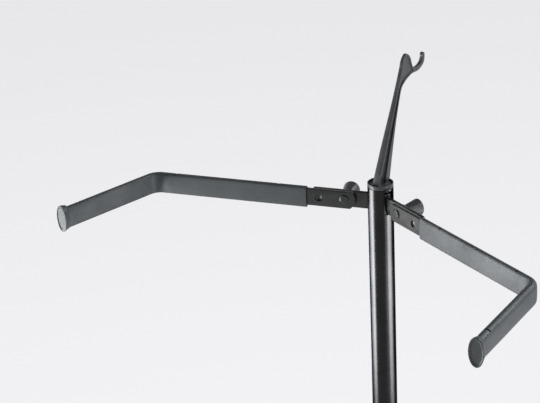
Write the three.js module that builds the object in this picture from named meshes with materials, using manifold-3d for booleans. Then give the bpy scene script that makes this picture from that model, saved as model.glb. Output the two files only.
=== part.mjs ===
// String instrument stand: a pole with a bow holder and two padded arms, a second pair of
// arms lower down, and a folding three-legged base. Millimetres, +Z up, the player's side is -Y.
import * as THREE from 'three';
import { mergeVertices } from 'three/addons/utils/BufferGeometryUtils.js';
import Module from 'manifold-3d';

const wasm = await Module();
wasm.setup();

// Gaps and working values
const clearance = 0.3;
const overrun = 5;
const tube_steps = 36;
const round_steps = 24;
const small_steps = 14;
const arc_steps = 5;
const bend_steps = 4;

// Pole and base tube
const pole_radius = 15;
const pole_wall = 1.5;
const pole_length = 700;
const pole_above_arms = 19.2;
const arm_height = 1000;
const base_tube_radius = 18;
const base_tube_wall = 1.5;
const base_tube_top = 620;

// Arms: flat bars that sweep forwards from the pole and bend once
const arm_sweep = THREE.MathUtils.degToRad(19.4);
const tip_splay = THREE.MathUtils.degToRad(7.3);
const bar_height = 20;
const bar_thickness = 5;
const bend_radius = 14;
const pivot_distance = 39.5;
const pivot_rise = 1.4;
const bar_end_radius = 13;
const dimple_distance = 70.7;
const dimple_radius = 4.3;
const dimple_depth = 2.8;
const upper_run = 276;
const upper_reach = 142;
const lower_height = 420;
const lower_run = 205;
const lower_reach = 125;

// Rubber sleeves
const sleeve_start = 85.3;
const sleeve_height = 25.8;
const sleeve_thickness = 9.2;
const sleeve_rounding = 3;
const sleeve_end_wall = 6;
const lip_height = 33;
const lip_thickness = 17;
const lip_length = 9;
const lip_dish = 0.9;
const lip_dish_share = 0.9;
const slit_width = 1.8;
const slit_length = 6;
const slit_depth = 1.6;
const slit_distance = 120;
const slit_before_bend = 27;
const slit_before_tip = 26;

// Links, their core and the pivot hardware
const link_start = 1;
const link_end = 80;
const link_corner = 3;
const link_pin_distance = 6;
const link_pin_radius = 2;
const link_pin_front = 2.4;
const link_pin_back = 12.6;
const core_above = 13;
const core_below = 16;
const slot_above = 17;
const slot_below = 11.9;
const slot_width = 11.6;
const slot_corner = 3;
const slot_turn = THREE.MathUtils.degToRad(15);
const core_screw_radius = 2;
const core_screw_head_radius = 4;
const core_screw_head_height = 2.2;
const core_head_shares = [[1, 0], [0.9, 0.7], [0.5, 1]];
const core_screw_tip = 6.5;
const bolt_radius = 4;
const bolt_head_radius = 5.4;
const bolt_head_height = 1.8;
const bolt_head_shares = [[0, 1], [0.8, 0.96], [0.95, 0.75], [1, 0.4], [1, 0]];
const washer_radius = 8;
const washer_thickness = 1.2;
const knob_root_radius = 6.4;
const knob_tip_radius = 10.2;
const knob_length = 20;
const knob_edge = 2.5;
const knob_floor = 3;

// Cap and bow holder
const cap_flange_height = 5;
const cap_wall = 1.2;
const cap_lip_round = 0.5;
const cap_ledge_height = 1.6;
const cap_bore_radius = 11;
const cap_spigot_length = 4;
const holder_disc_radius = 13;
const holder_disc_height = 2.6;
const holder_height = 138.5;
const holder_root_width = 8.4;
const holder_web_width = 2.4;

// Height clamp
const bush_length = 30;
const bush_flange_height = 2;
const clamp_radius = 23;
const clamp_height = 40;
const clamp_above_tube = 6;
const clamp_screw_drop = 18;
const pad_radius = 4;
const pad_length = 2.5;
const plug_flange_height = 8;
const plug_spigot_length = 20;

// Clamp bosses and lobed knobs
const boss_radius = 9;
const boss_end = 34;
const screw_radius = 3;
const star_radius = 17;
const star_thickness = 12;
const star_edge = 2;
const star_hub_radius = 8;
const star_hub_length = 5;
const star_lobes = 5;
const star_lobe_share = 0.13;
const star_steps = 45;

// Lower bracket
const bracket_radius = 22;
const bracket_height = 40;

// Folding base
const leg_angle = THREE.MathUtils.degToRad(58);
const leg_length = 410;
const leg_radius = 10;
const leg_wall = 1.5;
const leg_azimuths = [90, 210, 330].map(THREE.MathUtils.degToRad);
const hinge_distance = 38;
const hinge_pin_radius = 3;
const pin_head_radius = 5;
const pin_head_height = 2;
const collar_radius = 25;
const collar_height = 36;
const lug_height = 20;
const cheek_thickness = 4;
const lug_gap = 0.5;
const hub_floor = 8;
const brace_length = 150;
const brace_half_height = 9;
const brace_sheet = 2.5;
const brace_web_start = 26;
const brace_web_margin = 34;
const brace_dome_radius = 4.5;
const brace_dome_height = 1.5;
const brace_dome_crown_share = 0.6;
const foot_radius = 13;
const foot_length = 40;
const foot_round = 4;
const foot_floor = 6;
const foot_axis_height = 8;

// Places worked out from the sizes above
const bend_turn = Math.PI / 2 - arm_sweep - tip_splay;
const link_front = bar_thickness / 2 + clearance;
const link_back = link_front + bar_thickness;
const arm_setback = (link_front + link_back) / 2 / Math.cos(arm_sweep);
const knob_front = link_back + clearance + washer_thickness + clearance;
const collar_level = foot_axis_height + leg_length * Math.cos(leg_angle);
const hub_level = collar_level - 2 * brace_length * Math.cos(leg_angle);
const pole_top = arm_height + pole_above_arms;
const lug_half = leg_radius + lug_gap;
const collar_bore = base_tube_radius + clearance;

const materials = {
  gloss_black: new THREE.MeshStandardMaterial({ color: 0x161718, roughness: 0.22, metalness: 0.35 }),
  satin_black: new THREE.MeshStandardMaterial({ color: 0x232425, roughness: 0.5, metalness: 0.3 }),
  rubber: new THREE.MeshStandardMaterial({ color: 0x3d4143, roughness: 0.75, metalness: 0 }),
  moulded: new THREE.MeshStandardMaterial({ color: 0x2c2f31, roughness: 0.55, metalness: 0 }),
  zinc: new THREE.MeshStandardMaterial({ color: 0x8a8d90, roughness: 0.4, metalness: 0.9 }),
};

// A closed mesh as a solid: vertices merged and the empty triangles at a lathe's axis left out
function solid(geometry) {
  const bare = geometry.clone();
  bare.deleteAttribute('normal');
  bare.deleteAttribute('uv');
  const merged = mergeVertices(bare);
  const corners = [];
  for (let i = 0; i < merged.index.count; i += 3) {
    const [a, b, c] = [0, 1, 2].map((k) => merged.index.getX(i + k));
    if (a !== b && b !== c && c !== a) corners.push(a, b, c);
  }
  const vertProperties = new Float32Array(merged.attributes.position.array);
  return new wasm.Manifold(new wasm.Mesh({
    numProp: 3,
    vertProperties,
    triVerts: new Uint32Array(corners),
  }));
}

function geometryOf(body) {
  const mesh = body.getMesh();
  const geometry = new THREE.BufferGeometry();
  geometry.setAttribute('position', new THREE.BufferAttribute(mesh.vertProperties, 3));
  geometry.setIndex(new THREE.BufferAttribute(mesh.triVerts, 1));
  return geometry;
}

function join(...bodies) {
  return bodies.reduce((whole, body) => whole.add(body));
}

function cut(body, ...cutters) {
  return cutters.reduce((rest, cutter) => rest.subtract(cutter), body);
}

function piece(parent, name, body, material) {
  const geometry = geometryOf(body);
  geometry.computeVertexNormals();
  const mesh = new THREE.Mesh(geometry, material);
  mesh.name = name;
  parent.add(mesh);
  return mesh;
}

// Turned shapes: the profile's points are [radius, distance along the axis], and run outwards,
// up the outer wall and back in. The axis is +Y, or +Z with turnedUp.
function turned(profile, steps = round_steps) {
  return new THREE.LatheGeometry(profile.map(([r, y]) => new THREE.Vector2(r, y)), steps);
}

function turnedUp(profile, steps = round_steps) {
  return turned(profile, steps).rotateX(Math.PI / 2);
}

function rod(radius, from, to, steps = small_steps) {
  return turned([[0, from], [radius, from], [radius, to], [0, to]], steps);
}

function pipe(inner, outer, from, to, steps = round_steps) {
  return turned([[inner, from], [outer, from], [outer, to], [inner, to], [inner, from]], steps);
}

function block(x_from, x_to, y_from, y_to, z_from, z_to) {
  const box = new THREE.BoxGeometry(x_to - x_from, y_to - y_from, z_to - z_from);
  return box.translate((x_from + x_to) / 2, (y_from + y_to) / 2, (z_from + z_to) / 2);
}

// A flat plate: its outline is drawn in X and Z, and it fills Y from front to back
function plate(outline, front, back) {
  const geometry = new THREE.ExtrudeGeometry(outline, {
    depth: back - front,
    bevelEnabled: false,
    curveSegments: arc_steps,
  });
  return geometry.rotateX(Math.PI / 2).translate(0, back, 0);
}

function circle(x, y, radius) {
  return new THREE.Path().absarc(x, y, radius, 0, 2 * Math.PI, true);
}

// Plan outline of a strip that runs along +X, turns forwards at the bend and runs on to its tip
function bentStrip(start, run, reach, half) {
  const arc_x = run - bend_radius * Math.tan(bend_turn / 2);
  const tip = (off) => [
    run + reach * Math.cos(bend_turn) + off * Math.sin(bend_turn),
    -reach * Math.sin(bend_turn) + off * Math.cos(bend_turn),
  ];
  const outline = new THREE.Shape();
  outline.moveTo(start, -half);
  outline.lineTo(start, half);
  outline.absarc(arc_x, -bend_radius, bend_radius + half, Math.PI / 2, Math.PI / 2 - bend_turn, true);
  outline.lineTo(...tip(half));
  outline.lineTo(...tip(-half));
  outline.absarc(arc_x, -bend_radius, bend_radius - half, Math.PI / 2 - bend_turn, Math.PI / 2, false);
  return outline;
}

// Moves a shape from the tip's own frame, Y along the last stretch, to the arm's frame
function toTip(geometry, run, reach) {
  return geometry
    .rotateZ(-Math.PI / 2 - bend_turn)
    .translate(run + reach * Math.cos(bend_turn), -reach * Math.sin(bend_turn), 0);
}

// Rounds the end of a piece about a pivot at x and z: everything behind the arc goes
function endCutter(x, z, radius, half_width, half_height) {
  const keep = rod(radius, -half_width - 2 * overrun, half_width + 2 * overrun, round_steps)
    .translate(x, 0, z);
  const away = block(
    x - radius - overrun, x, -half_width - overrun, half_width + overrun,
    -half_height - overrun, half_height + overrun,
  );
  return cut(solid(away), solid(keep));
}

function armBar(run, reach, up) {
  const outline = bentStrip(
    pivot_distance - bar_end_radius - overrun, run,
    reach - sleeve_end_wall - clearance, bar_thickness / 2,
  );
  const strip = new THREE.ExtrudeGeometry(outline, {
    depth: bar_height,
    bevelEnabled: false,
    curveSegments: bend_steps,
  }).translate(0, 0, -bar_height / 2);
  const bolt_hole = rod(bolt_radius + clearance, -bar_thickness, bar_thickness);
  const dimple_bowl = rod(dimple_radius, -bar_thickness, dimple_depth - bar_thickness / 2);
  return cut(
    solid(strip),
    endCutter(pivot_distance, up * pivot_rise, bar_end_radius, bar_thickness, bar_height),
    solid(bolt_hole.translate(pivot_distance, 0, up * pivot_rise)),
    solid(dimple_bowl.translate(dimple_distance, 0, 0)),
  );
}

// The sleeve's tip flares into an oval lip with a slightly hollow face
const lip_profile_shares = [
  [0, -1], [0.6, -1], [0.83, -0.84], [0.89, -0.55], [0.96, -0.25], [1, -0.1], [1, -0.04], [0.96, 0],
  [0.84, 0],
];

function armSleeve(run, reach, up) {
  const outline = bentStrip(sleeve_start, run, reach - lip_length / 2, sleeve_thickness / 2);
  const body = new THREE.ExtrudeGeometry(outline, {
    depth: sleeve_height - 2 * sleeve_rounding,
    bevelThickness: sleeve_rounding,
    bevelSize: sleeve_rounding,
    bevelOffset: -sleeve_rounding,
    bevelSegments: 2,
    curveSegments: bend_steps,
  }).translate(0, 0, sleeve_rounding - sleeve_height / 2);
  const lip_points = lip_profile_shares.map(([r, y]) => [r, y * lip_length]);
  lip_points.push([lip_points.at(-1)[0] * lip_dish_share, -lip_dish], [0, -lip_dish]);
  const lip = turned(lip_points).scale(lip_thickness / 2, 1, lip_height / 2);
  const hollow = bentStrip(
    sleeve_start - overrun, run, reach - sleeve_end_wall, bar_thickness / 2 + clearance,
  );
  const cavity = new THREE.ExtrudeGeometry(hollow, {
    depth: bar_height + 2 * clearance,
    bevelEnabled: false,
    curveSegments: bend_steps,
  }).translate(0, 0, -bar_height / 2 - clearance);
  const top = up * sleeve_height / 2;
  const slit = (x) => block(
    x - slit_width / 2, x + slit_width / 2, -slit_length / 2, slit_length / 2,
    top - slit_depth, top + slit_depth,
  );
  const tip_slit = slit(0).rotateZ(Math.PI / 2);
  return cut(
    join(solid(body), solid(toTip(lip, run, reach))),
    solid(cavity),
    solid(slit(slit_distance)),
    solid(slit(run - slit_before_bend)),
    solid(toTip(tip_slit, run, reach - slit_before_tip)),
  );
}

function linkOutline(up) {
  const half = bar_height / 2;
  const outline = new THREE.Shape();
  outline.moveTo(link_start, -half);
  outline.lineTo(link_end - link_corner, -half);
  outline.lineTo(link_end, link_corner - half);
  outline.lineTo(link_end, half - link_corner);
  outline.lineTo(link_end - link_corner, half);
  outline.lineTo(link_start, half);
  outline.holes.push(circle(pivot_distance, up * pivot_rise, bolt_radius + clearance));
  return outline;
}

function armLink(up) {
  const outline = linkOutline(up);
  outline.holes.push(circle(link_pin_distance, 0, link_pin_radius + clearance));
  return solid(plate(outline, link_front, link_back));
}

function pivotBolt() {
  const head_back = -bar_thickness / 2 - clearance;
  const shank_end = knob_front + knob_length - knob_floor - clearance;
  return solid(turned([
    ...bolt_head_shares.map(([r, y]) => [r * bolt_head_radius, head_back - y * bolt_head_height]),
    [bolt_radius, head_back],
    [bolt_radius, shank_end],
    [0, shank_end],
  ], round_steps));
}

function pivotWasher() {
  const front = link_back + clearance;
  return solid(pipe(bolt_radius + clearance, washer_radius, front, front + washer_thickness, small_steps));
}

function pivotKnob() {
  const back = knob_front + knob_length;
  const bore = bolt_radius + clearance;
  return solid(turned([
    [bore, knob_front],
    [knob_root_radius, knob_front],
    [knob_tip_radius, back - knob_edge],
    [knob_tip_radius - knob_edge / 3, back - knob_edge / 3],
    [knob_tip_radius - knob_edge, back],
    [0, back],
    [0, back - knob_floor],
    [bore, back - knob_floor],
    [bore, knob_front],
  ]));
}

// The arm's frame: X along the link, Y to the back, and the left arm is the right one turned over
function armFrame(side, height) {
  const frame = new THREE.Group();
  frame.position.set(0, -arm_setback, height);
  frame.rotation.set(0, side < 0 ? Math.PI : 0, -side * arm_sweep, 'ZYX');
  frame.updateMatrix();
  return frame;
}

function addArm(parent, prefix, side, height, run, reach) {
  const frame = armFrame(side, height);
  const hinge = new THREE.Group();
  hinge.position.set(pivot_distance, 0, side * pivot_rise);
  piece(frame, `${prefix}_bar`, armBar(run, reach, side), materials.satin_black);
  piece(frame, `${prefix}_sleeve`, armSleeve(run, reach, side), materials.rubber);
  piece(hinge, `${prefix}_bolt`, pivotBolt(), materials.satin_black);
  piece(hinge, `${prefix}_washer`, pivotWasher(), materials.zinc);
  piece(hinge, `${prefix}_knob`, pivotKnob(), materials.moulded);
  frame.add(hinge);
  parent.add(frame);
}

// A slot for each link, its middle turned a little to the front
function slotCutter(side) {
  const half = slot_width / 2;
  const outline = new THREE.Shape();
  outline.moveTo(slot_corner - half, -slot_below);
  outline.absarc(half - slot_corner, slot_corner - slot_below, slot_corner, -Math.PI / 2, 0, false);
  outline.absarc(half - slot_corner, slot_above - slot_corner, slot_corner, 0, Math.PI / 2, false);
  outline.absarc(slot_corner - half, slot_above - slot_corner, slot_corner, Math.PI / 2, Math.PI, false);
  outline.absarc(slot_corner - half, slot_corner - slot_below, slot_corner, Math.PI, Math.PI * 1.5, false);
  const cutter = new THREE.ExtrudeGeometry(outline, {
    depth: pole_radius,
    bevelEnabled: false,
    curveSegments: 3,
  });
  cutter.rotateX(Math.PI / 2).translate(0, -pole_radius / 2, 0);
  return solid(cutter.rotateZ(side * (Math.PI / 2 - slot_turn)).translate(0, 0, arm_height));
}

function screwHole(radius) {
  return solid(rod(radius, 0, 2 * boss_end));
}

function poleTube() {
  const inner = pole_radius - pole_wall;
  const tube = turnedUp([
    [inner, pole_top - pole_length], [pole_radius, pole_top - pole_length],
    [pole_radius, pole_top], [inner, pole_top], [inner, pole_top - pole_length],
  ], tube_steps);
  const hole = rod(core_screw_radius + clearance, 0, 2 * pole_radius).translate(0, 0, arm_height);
  return cut(solid(tube), slotCutter(1), slotCutter(-1), solid(hole));
}

function linkCore() {
  const radius = pole_radius - pole_wall - clearance;
  const body = turnedUp([[0, -core_below], [radius, -core_below], [radius, core_above], [0, core_above]]);
  const half = bar_height / 2 + clearance;
  const windows = [1, -1].flatMap((side) => {
    const frame = armFrame(side, 0);
    const window = block(
      link_start - clearance, pole_radius * 2, link_front - clearance, link_back + clearance, -half, half,
    );
    const pin_hole = rod(link_pin_radius + clearance, -link_pin_front - clearance, pole_radius)
      .translate(link_pin_distance, 0, 0);
    return [solid(window.applyMatrix4(frame.matrix)), solid(pin_hole.applyMatrix4(frame.matrix))];
  });
  const screw = rod(core_screw_radius + clearance, core_screw_tip - clearance, 2 * pole_radius);
  return cut(solid(body), ...windows, solid(screw));
}

function coreScrew() {
  const head = pole_radius + clearance;
  return solid(turned([
    [0, core_screw_tip],
    [core_screw_radius, core_screw_tip],
    [core_screw_radius, head],
    ...core_head_shares.map(([r, y]) => [r * core_screw_head_radius, head + y * core_screw_head_height]),
    [0, head + core_screw_head_height],
  ], small_steps));
}

function topCap() {
  const seat = pole_top + clearance;
  const rim = pole_top + cap_flange_height;
  const ledge = seat + cap_ledge_height;
  const spigot = pole_radius - pole_wall - clearance;
  const mouth = pole_radius - cap_wall;
  return solid(turnedUp([
    [cap_bore_radius, pole_top - cap_spigot_length],
    [spigot, pole_top - cap_spigot_length],
    [spigot, seat],
    [pole_radius, seat],
    [pole_radius, rim - cap_lip_round],
    [pole_radius - cap_lip_round, rim],
    [mouth, rim],
    [mouth, ledge],
    [cap_bore_radius, ledge],
    [cap_bore_radius, pole_top - cap_spigot_length],
  ], tube_steps));
}

// Bow holder outline as shares of its height: [to the back, up from the cap's rim]. The front
// edge runs up to the thumb, and the back edge comes down from the finger.
const front_edge_shares = [[-0.072, 0], [0.179, 0.57], [0.255, 0.752], [0.292, 0.844], [0.313, 0.894]];
const thumb_shares = [[0.313, 0.894], [0.326, 0.941], [0.35, 0.981], [0.383, 1], [0.42, 0.982],
  [0.445, 0.949], [0.455, 0.912], [0.466, 0.879]];
const notch_shares = [[0.466, 0.879], [0.483, 0.858], [0.513, 0.845], [0.56, 0.851], [0.594, 0.872],
  [0.61, 0.899], [0.609, 0.924]];
const bead_shares = [[0.609, 0.924], [0.612, 0.936], [0.628, 0.944], [0.644, 0.936], [0.648, 0.919]];
const finger_shares = [[0.648, 0.919], [0.643, 0.879], [0.625, 0.847], [0.581, 0.819], [0.531, 0.807],
  [0.477, 0.809], [0.44, 0.803], [0.383, 0.783], [0.339, 0.757], [0.312, 0.734], [0.293, 0.702]];
const back_edge_shares = [[0.293, 0.702], [0.256, 0.602], [0.218, 0.49], [0.18, 0.36], [0.142, 0.219],
  [0.11, 0.071], [0.094, 0]];
const pocket_shares = [[-0.045, 0.042], [0.198, 0.576], [0.274, 0.76], [0.313, 0.851], [0.329, 0.894],
  [0.342, 0.934], [0.361, 0.966], [0.386, 0.981], [0.41, 0.968], [0.428, 0.94], [0.439, 0.905],
  [0.451, 0.872], [0.464, 0.848], [0.478, 0.832], [0.44, 0.822], [0.379, 0.8], [0.329, 0.771],
  [0.297, 0.742], [0.277, 0.705], [0.238, 0.602], [0.202, 0.493], [0.162, 0.356], [0.125, 0.212],
  [0.095, 0.085], [0.084, 0.042]];
const holder_width_shares = [[0, 1], [0.22, 1], [0.38, 0.86], [0.58, 0.69], [0.7, 0.58], [0.9, 0.5],
  [1, 0.42]];

function holderPoint([y, z]) {
  return new THREE.Vector2(y * holder_height, z * holder_height);
}

function holderOutline() {
  const outline = new THREE.Shape();
  const stretches = [thumb_shares, notch_shares, bead_shares, finger_shares];
  outline.setFromPoints(front_edge_shares.map(holderPoint));
  stretches.forEach((stretch) => outline.splineThru(stretch.slice(1).map(holderPoint)));
  back_edge_shares.slice(1).map(holderPoint).forEach((point) => outline.lineTo(point.x, point.y));
  return outline;
}

function holderPocket() {
  return new THREE.Shape(pocket_shares.map(holderPoint));
}

function holderWidth(z) {
  const share = Math.min(1, Math.max(0, z / holder_height));
  const next = Math.max(1, holder_width_shares.findIndex(([height]) => height >= share));
  const [low, high] = [holder_width_shares[next - 1], holder_width_shares[next]];
  const between = (share - low[0]) / (high[0] - low[0]);
  return holder_root_width * THREE.MathUtils.lerp(low[1], high[1], between);
}

// Widens or narrows an upright blade along its height
function taper(geometry, widthAt) {
  const position = geometry.attributes.position;
  for (let i = 0; i < position.count; i += 1) {
    position.setX(i, position.getX(i) * widthAt(position.getZ(i)));
  }
  return geometry;
}

function holderBlade(outline, width) {
  const blade = new THREE.ExtrudeGeometry(outline, { depth: 1, bevelEnabled: false, curveSegments: 2 });
  blade.translate(0, 0, -1 / 2);
  blade.rotateX(Math.PI / 2).rotateZ(Math.PI / 2);
  return solid(taper(blade, width));
}

function bowHolder() {
  const rim = pole_top + cap_flange_height;
  const seat = pole_top + clearance + cap_ledge_height + clearance;
  const blade = holderBlade(holderOutline(), holderWidth);
  const open = holderBlade(holderPocket(), () => 2 * holder_root_width);
  const web = holderBlade(holderPocket(), () => holder_web_width);
  const stem = blade.subtract(open.subtract(web));
  const lift = new THREE.Matrix4().makeTranslation(0, 0, rim);
  const moved = solid(geometryOf(stem).applyMatrix4(lift));
  const foot = turnedUp([
    [0, pole_top - cap_spigot_length],
    [cap_bore_radius - clearance, pole_top - cap_spigot_length],
    [cap_bore_radius - clearance, seat],
    [holder_disc_radius, seat],
    [holder_disc_radius, seat + holder_disc_height],
    [0, seat + holder_disc_height],
  ]);
  const root = block(
    -holder_root_width / 2, holder_root_width / 2,
    front_edge_shares[0][0] * holder_height, back_edge_shares.at(-1)[0] * holder_height,
    seat, rim + clearance,
  );
  return join(moved, solid(root), solid(foot));
}

function polePlug() {
  const bottom = pole_top - pole_length;
  const slider = base_tube_radius - base_tube_wall - clearance;
  const spigot = pole_radius - pole_wall - clearance;
  const under = bottom - clearance;
  return solid(turnedUp([
    [0, under - plug_flange_height],
    [slider, under - plug_flange_height],
    [slider, under],
    [spigot, under],
    [spigot, under + plug_spigot_length],
    [0, under + plug_spigot_length],
  ]));
}

function addHead(stand) {
  const head = new THREE.Group();
  piece(head, 'pole_tube', poleTube(), materials.gloss_black);
  piece(head, 'top_cap', topCap(), materials.moulded);
  piece(head, 'bow_holder', bowHolder(), materials.moulded);
  piece(head, 'pole_plug', polePlug(), materials.moulded);
  const inside = new THREE.Group();
  inside.position.z = arm_height;
  piece(inside, 'link_core', linkCore(), materials.satin_black);
  piece(inside, 'core_screw', coreScrew(), materials.zinc);
  head.add(inside);
  [['left', -1], ['right', 1]].forEach(([name, side]) => {
    const frame = armFrame(side, arm_height);
    piece(frame, `${name}_link`, armLink(side), materials.satin_black);
    const pin = rod(link_pin_radius, -link_pin_front, link_pin_back).translate(link_pin_distance, 0, 0);
    piece(frame, `${name}_link_pin`, solid(pin), materials.zinc);
    head.add(frame);
    addArm(head, `${name}_arm`, side, arm_height, upper_run, upper_reach);
  });
  stand.add(head);
}

// A clamp screw's boss on a ring, its axis along +Y
function boss() {
  return solid(rod(boss_radius, base_tube_radius + clearance + pole_wall, boss_end, round_steps));
}

function starKnob(tip) {
  const outline = new THREE.Shape();
  for (let i = 0; i < star_steps; i += 1) {
    const angle = (2 * Math.PI * i) / star_steps;
    const radius = star_radius * (1 - star_lobe_share + star_lobe_share * Math.cos(star_lobes * angle));
    const point = [radius * Math.sin(angle), radius * Math.cos(angle)];
    if (i === 0) outline.moveTo(...point);
    else outline.lineTo(...point);
  }
  const head_front = boss_end + clearance + star_hub_length;
  const head = new THREE.ExtrudeGeometry(outline, {
    depth: star_thickness - 2 * star_edge,
    bevelThickness: star_edge,
    bevelSize: star_edge,
    bevelOffset: -star_edge,
    bevelSegments: 1,
  });
  head.rotateX(-Math.PI / 2).translate(0, head_front + star_edge, 0);
  const hub = turned([
    [0, tip],
    [screw_radius, tip],
    [screw_radius, boss_end + clearance],
    [star_hub_radius, boss_end + clearance],
    [star_hub_radius, head_front + star_edge],
    [0, head_front + star_edge],
  ], small_steps);
  return join(solid(head), solid(hub));
}

function baseTube() {
  const inner = base_tube_radius - base_tube_wall;
  const bottom = hub_level - collar_height / 2 + hub_floor + clearance;
  const tube = turnedUp([
    [inner, bottom], [base_tube_radius, bottom],
    [base_tube_radius, base_tube_top], [inner, base_tube_top], [inner, bottom],
  ], tube_steps);
  const hole = screwHole(pad_radius + clearance);
  const level = new THREE.Matrix4().makeTranslation(0, 0, base_tube_top - clamp_screw_drop);
  return cut(solid(tube), solid(geometryOf(hole).applyMatrix4(level)));
}

function guideBush() {
  const inner = pole_radius + clearance;
  const outer = base_tube_radius - base_tube_wall - clearance;
  const seat = base_tube_top + clearance;
  const bush = turnedUp([
    [inner, base_tube_top - bush_length],
    [outer, base_tube_top - bush_length],
    [outer, seat],
    [base_tube_radius, seat],
    [base_tube_radius, seat + bush_flange_height],
    [inner, seat + bush_flange_height],
    [inner, base_tube_top - bush_length],
  ], tube_steps);
  const hole = rod(pad_radius + clearance, 0, 2 * pole_radius)
    .translate(0, 0, base_tube_top - clamp_screw_drop);
  return cut(solid(bush), solid(hole));
}

// The clamp's heights are measured from the screw's axis
function heightClamp() {
  const top = clamp_screw_drop + clamp_above_tube;
  const shelf = clamp_screw_drop + clearance + bush_flange_height + clearance;
  const ring = turnedUp([
    [collar_bore, top - clamp_height],
    [clamp_radius, top - clamp_height],
    [clamp_radius, top],
    [pole_radius + clearance, top],
    [pole_radius + clearance, shelf],
    [collar_bore, shelf],
    [collar_bore, top - clamp_height],
  ], tube_steps);
  return cut(join(solid(ring), boss()), screwHole(screw_radius + clearance));
}

function addHeightClamp(stand) {
  const level = new THREE.Group();
  level.position.z = base_tube_top - clamp_screw_drop;
  piece(level, 'height_clamp', heightClamp(), materials.moulded);
  const pad_front = pole_radius + clearance;
  piece(level, 'clamp_pad', solid(rod(pad_radius, pad_front, pad_front + pad_length)), materials.moulded);
  piece(level, 'height_knob', starKnob(pad_front + pad_length + clearance), materials.moulded);
  stand.add(level);
  piece(stand, 'base_tube', baseTube(), materials.gloss_black);
  piece(stand, 'guide_bush', guideBush(), materials.moulded);
}

function lowerBracket() {
  const half = bracket_height / 2;
  const ring = turnedUp([
    [collar_bore, -half], [bracket_radius, -half], [bracket_radius, half], [collar_bore, half],
    [collar_bore, -half],
  ], tube_steps);
  const bore = turnedUp([
    [0, -bracket_height], [collar_bore, -bracket_height], [collar_bore, bracket_height],
    [0, bracket_height],
  ], tube_steps);
  const arms = [1, -1].map((side) => {
    const bar = plate(linkOutline(side), link_front, link_back);
    return solid(bar.applyMatrix4(armFrame(side, 0).matrix));
  });
  return cut(join(solid(ring), boss(), ...arms), solid(bore), screwHole(screw_radius + clearance));
}

function addLowerSupport(stand) {
  const level = new THREE.Group();
  level.position.z = lower_height;
  piece(level, 'lower_bracket', lowerBracket(), materials.satin_black);
  piece(level, 'bracket_knob', starKnob(base_tube_radius + clearance), materials.moulded);
  addArm(level, 'left_lower', -1, 0, lower_run, lower_reach);
  addArm(level, 'right_lower', 1, 0, lower_run, lower_reach);
  stand.add(level);
}

// Rings with hinge lugs for three legs; heights are measured from the hinge pins
function hingeRing(bottom_closed) {
  const half = collar_height / 2;
  const ring = turnedUp([
    [collar_bore, -half], [collar_radius, -half], [collar_radius, half], [collar_bore, half],
    [collar_bore, -half],
  ], tube_steps);
  if (!bottom_closed) return solid(ring);
  const floor = turnedUp([
    [0, -half], [collar_radius - clearance, -half], [collar_radius - clearance, hub_floor - half],
    [0, hub_floor - half],
  ]);
  return join(solid(ring), solid(floor));
}

function lug(from, to) {
  const start = (collar_bore + collar_radius) / 2;
  const outline = new THREE.Shape();
  outline.moveTo(start, lug_height / 2);
  outline.lineTo(start, -lug_height / 2);
  outline.absarc(hinge_distance, 0, lug_height / 2, -Math.PI / 2, Math.PI / 2, false);
  outline.holes.push(circle(hinge_distance, 0, hinge_pin_radius + clearance));
  return plate(outline, from, to);
}

function aroundLegs(make) {
  return leg_azimuths.flatMap((azimuth) => make().map((geometry) => solid(geometry.rotateZ(azimuth))));
}

function baseHub() {
  const half = lug_half - lug_gap;
  return join(hingeRing(true), ...aroundLegs(() => [lug(-half, half)]));
}

function legCollar() {
  const outside = lug_half + cheek_thickness;
  const cheeks = aroundLegs(() => [lug(lug_half, outside), lug(-outside, -lug_half)]);
  const front_boss = solid(geometryOf(boss()).rotateZ(Math.PI));
  const front_hole = solid(geometryOf(screwHole(screw_radius + clearance)).rotateZ(Math.PI));
  return cut(join(hingeRing(false), ...cheeks, front_boss), front_hole);
}

// A leg's frame: X along the leg from its pin, Y along the pin
function legTube() {
  const foot_end = leg_length - foot_floor - clearance;
  const tube = turned([
    [leg_radius - leg_wall, -leg_radius - overrun], [leg_radius, -leg_radius - overrun],
    [leg_radius, foot_end], [leg_radius - leg_wall, foot_end],
    [leg_radius - leg_wall, -leg_radius - overrun],
  ]).rotateZ(-Math.PI / 2);
  const cross = () => rod(hinge_pin_radius + clearance, -2 * leg_radius, 2 * leg_radius);
  return cut(
    solid(tube),
    endCutter(0, 0, leg_radius, leg_radius, leg_radius),
    solid(cross()),
    solid(cross().translate(brace_length, 0, 0)),
  );
}

function hingePin(half_length) {
  const head = half_length + clearance;
  return solid(turned([
    [0, -head - pin_head_height],
    [pin_head_radius, -head - pin_head_height],
    [pin_head_radius, -head],
    [hinge_pin_radius, -head],
    [hinge_pin_radius, head],
    [pin_head_radius, head],
    [pin_head_radius, head + pin_head_height],
    [0, head + pin_head_height],
  ], small_steps));
}

// Each foot is a cup over the leg's end, cut flat where it stands
function foot(leg_matrix) {
  const cup = turned([
    [0, leg_length - foot_floor],
    [leg_radius + clearance, leg_length - foot_floor],
    [leg_radius + clearance, leg_length - foot_length],
    [foot_radius, leg_length - foot_length],
    [foot_radius, leg_length - foot_round],
    [foot_radius - foot_round / 3, leg_length - foot_round / 3],
    [foot_radius - foot_round, leg_length],
    [0, leg_length],
  ]).rotateZ(-Math.PI / 2).applyMatrix4(leg_matrix);
  const far = hinge_distance + leg_length * 2;
  const ground = block(0, far, -leg_length, leg_length, -leg_length, 0);
  return cut(solid(cup), solid(ground));
}

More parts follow.
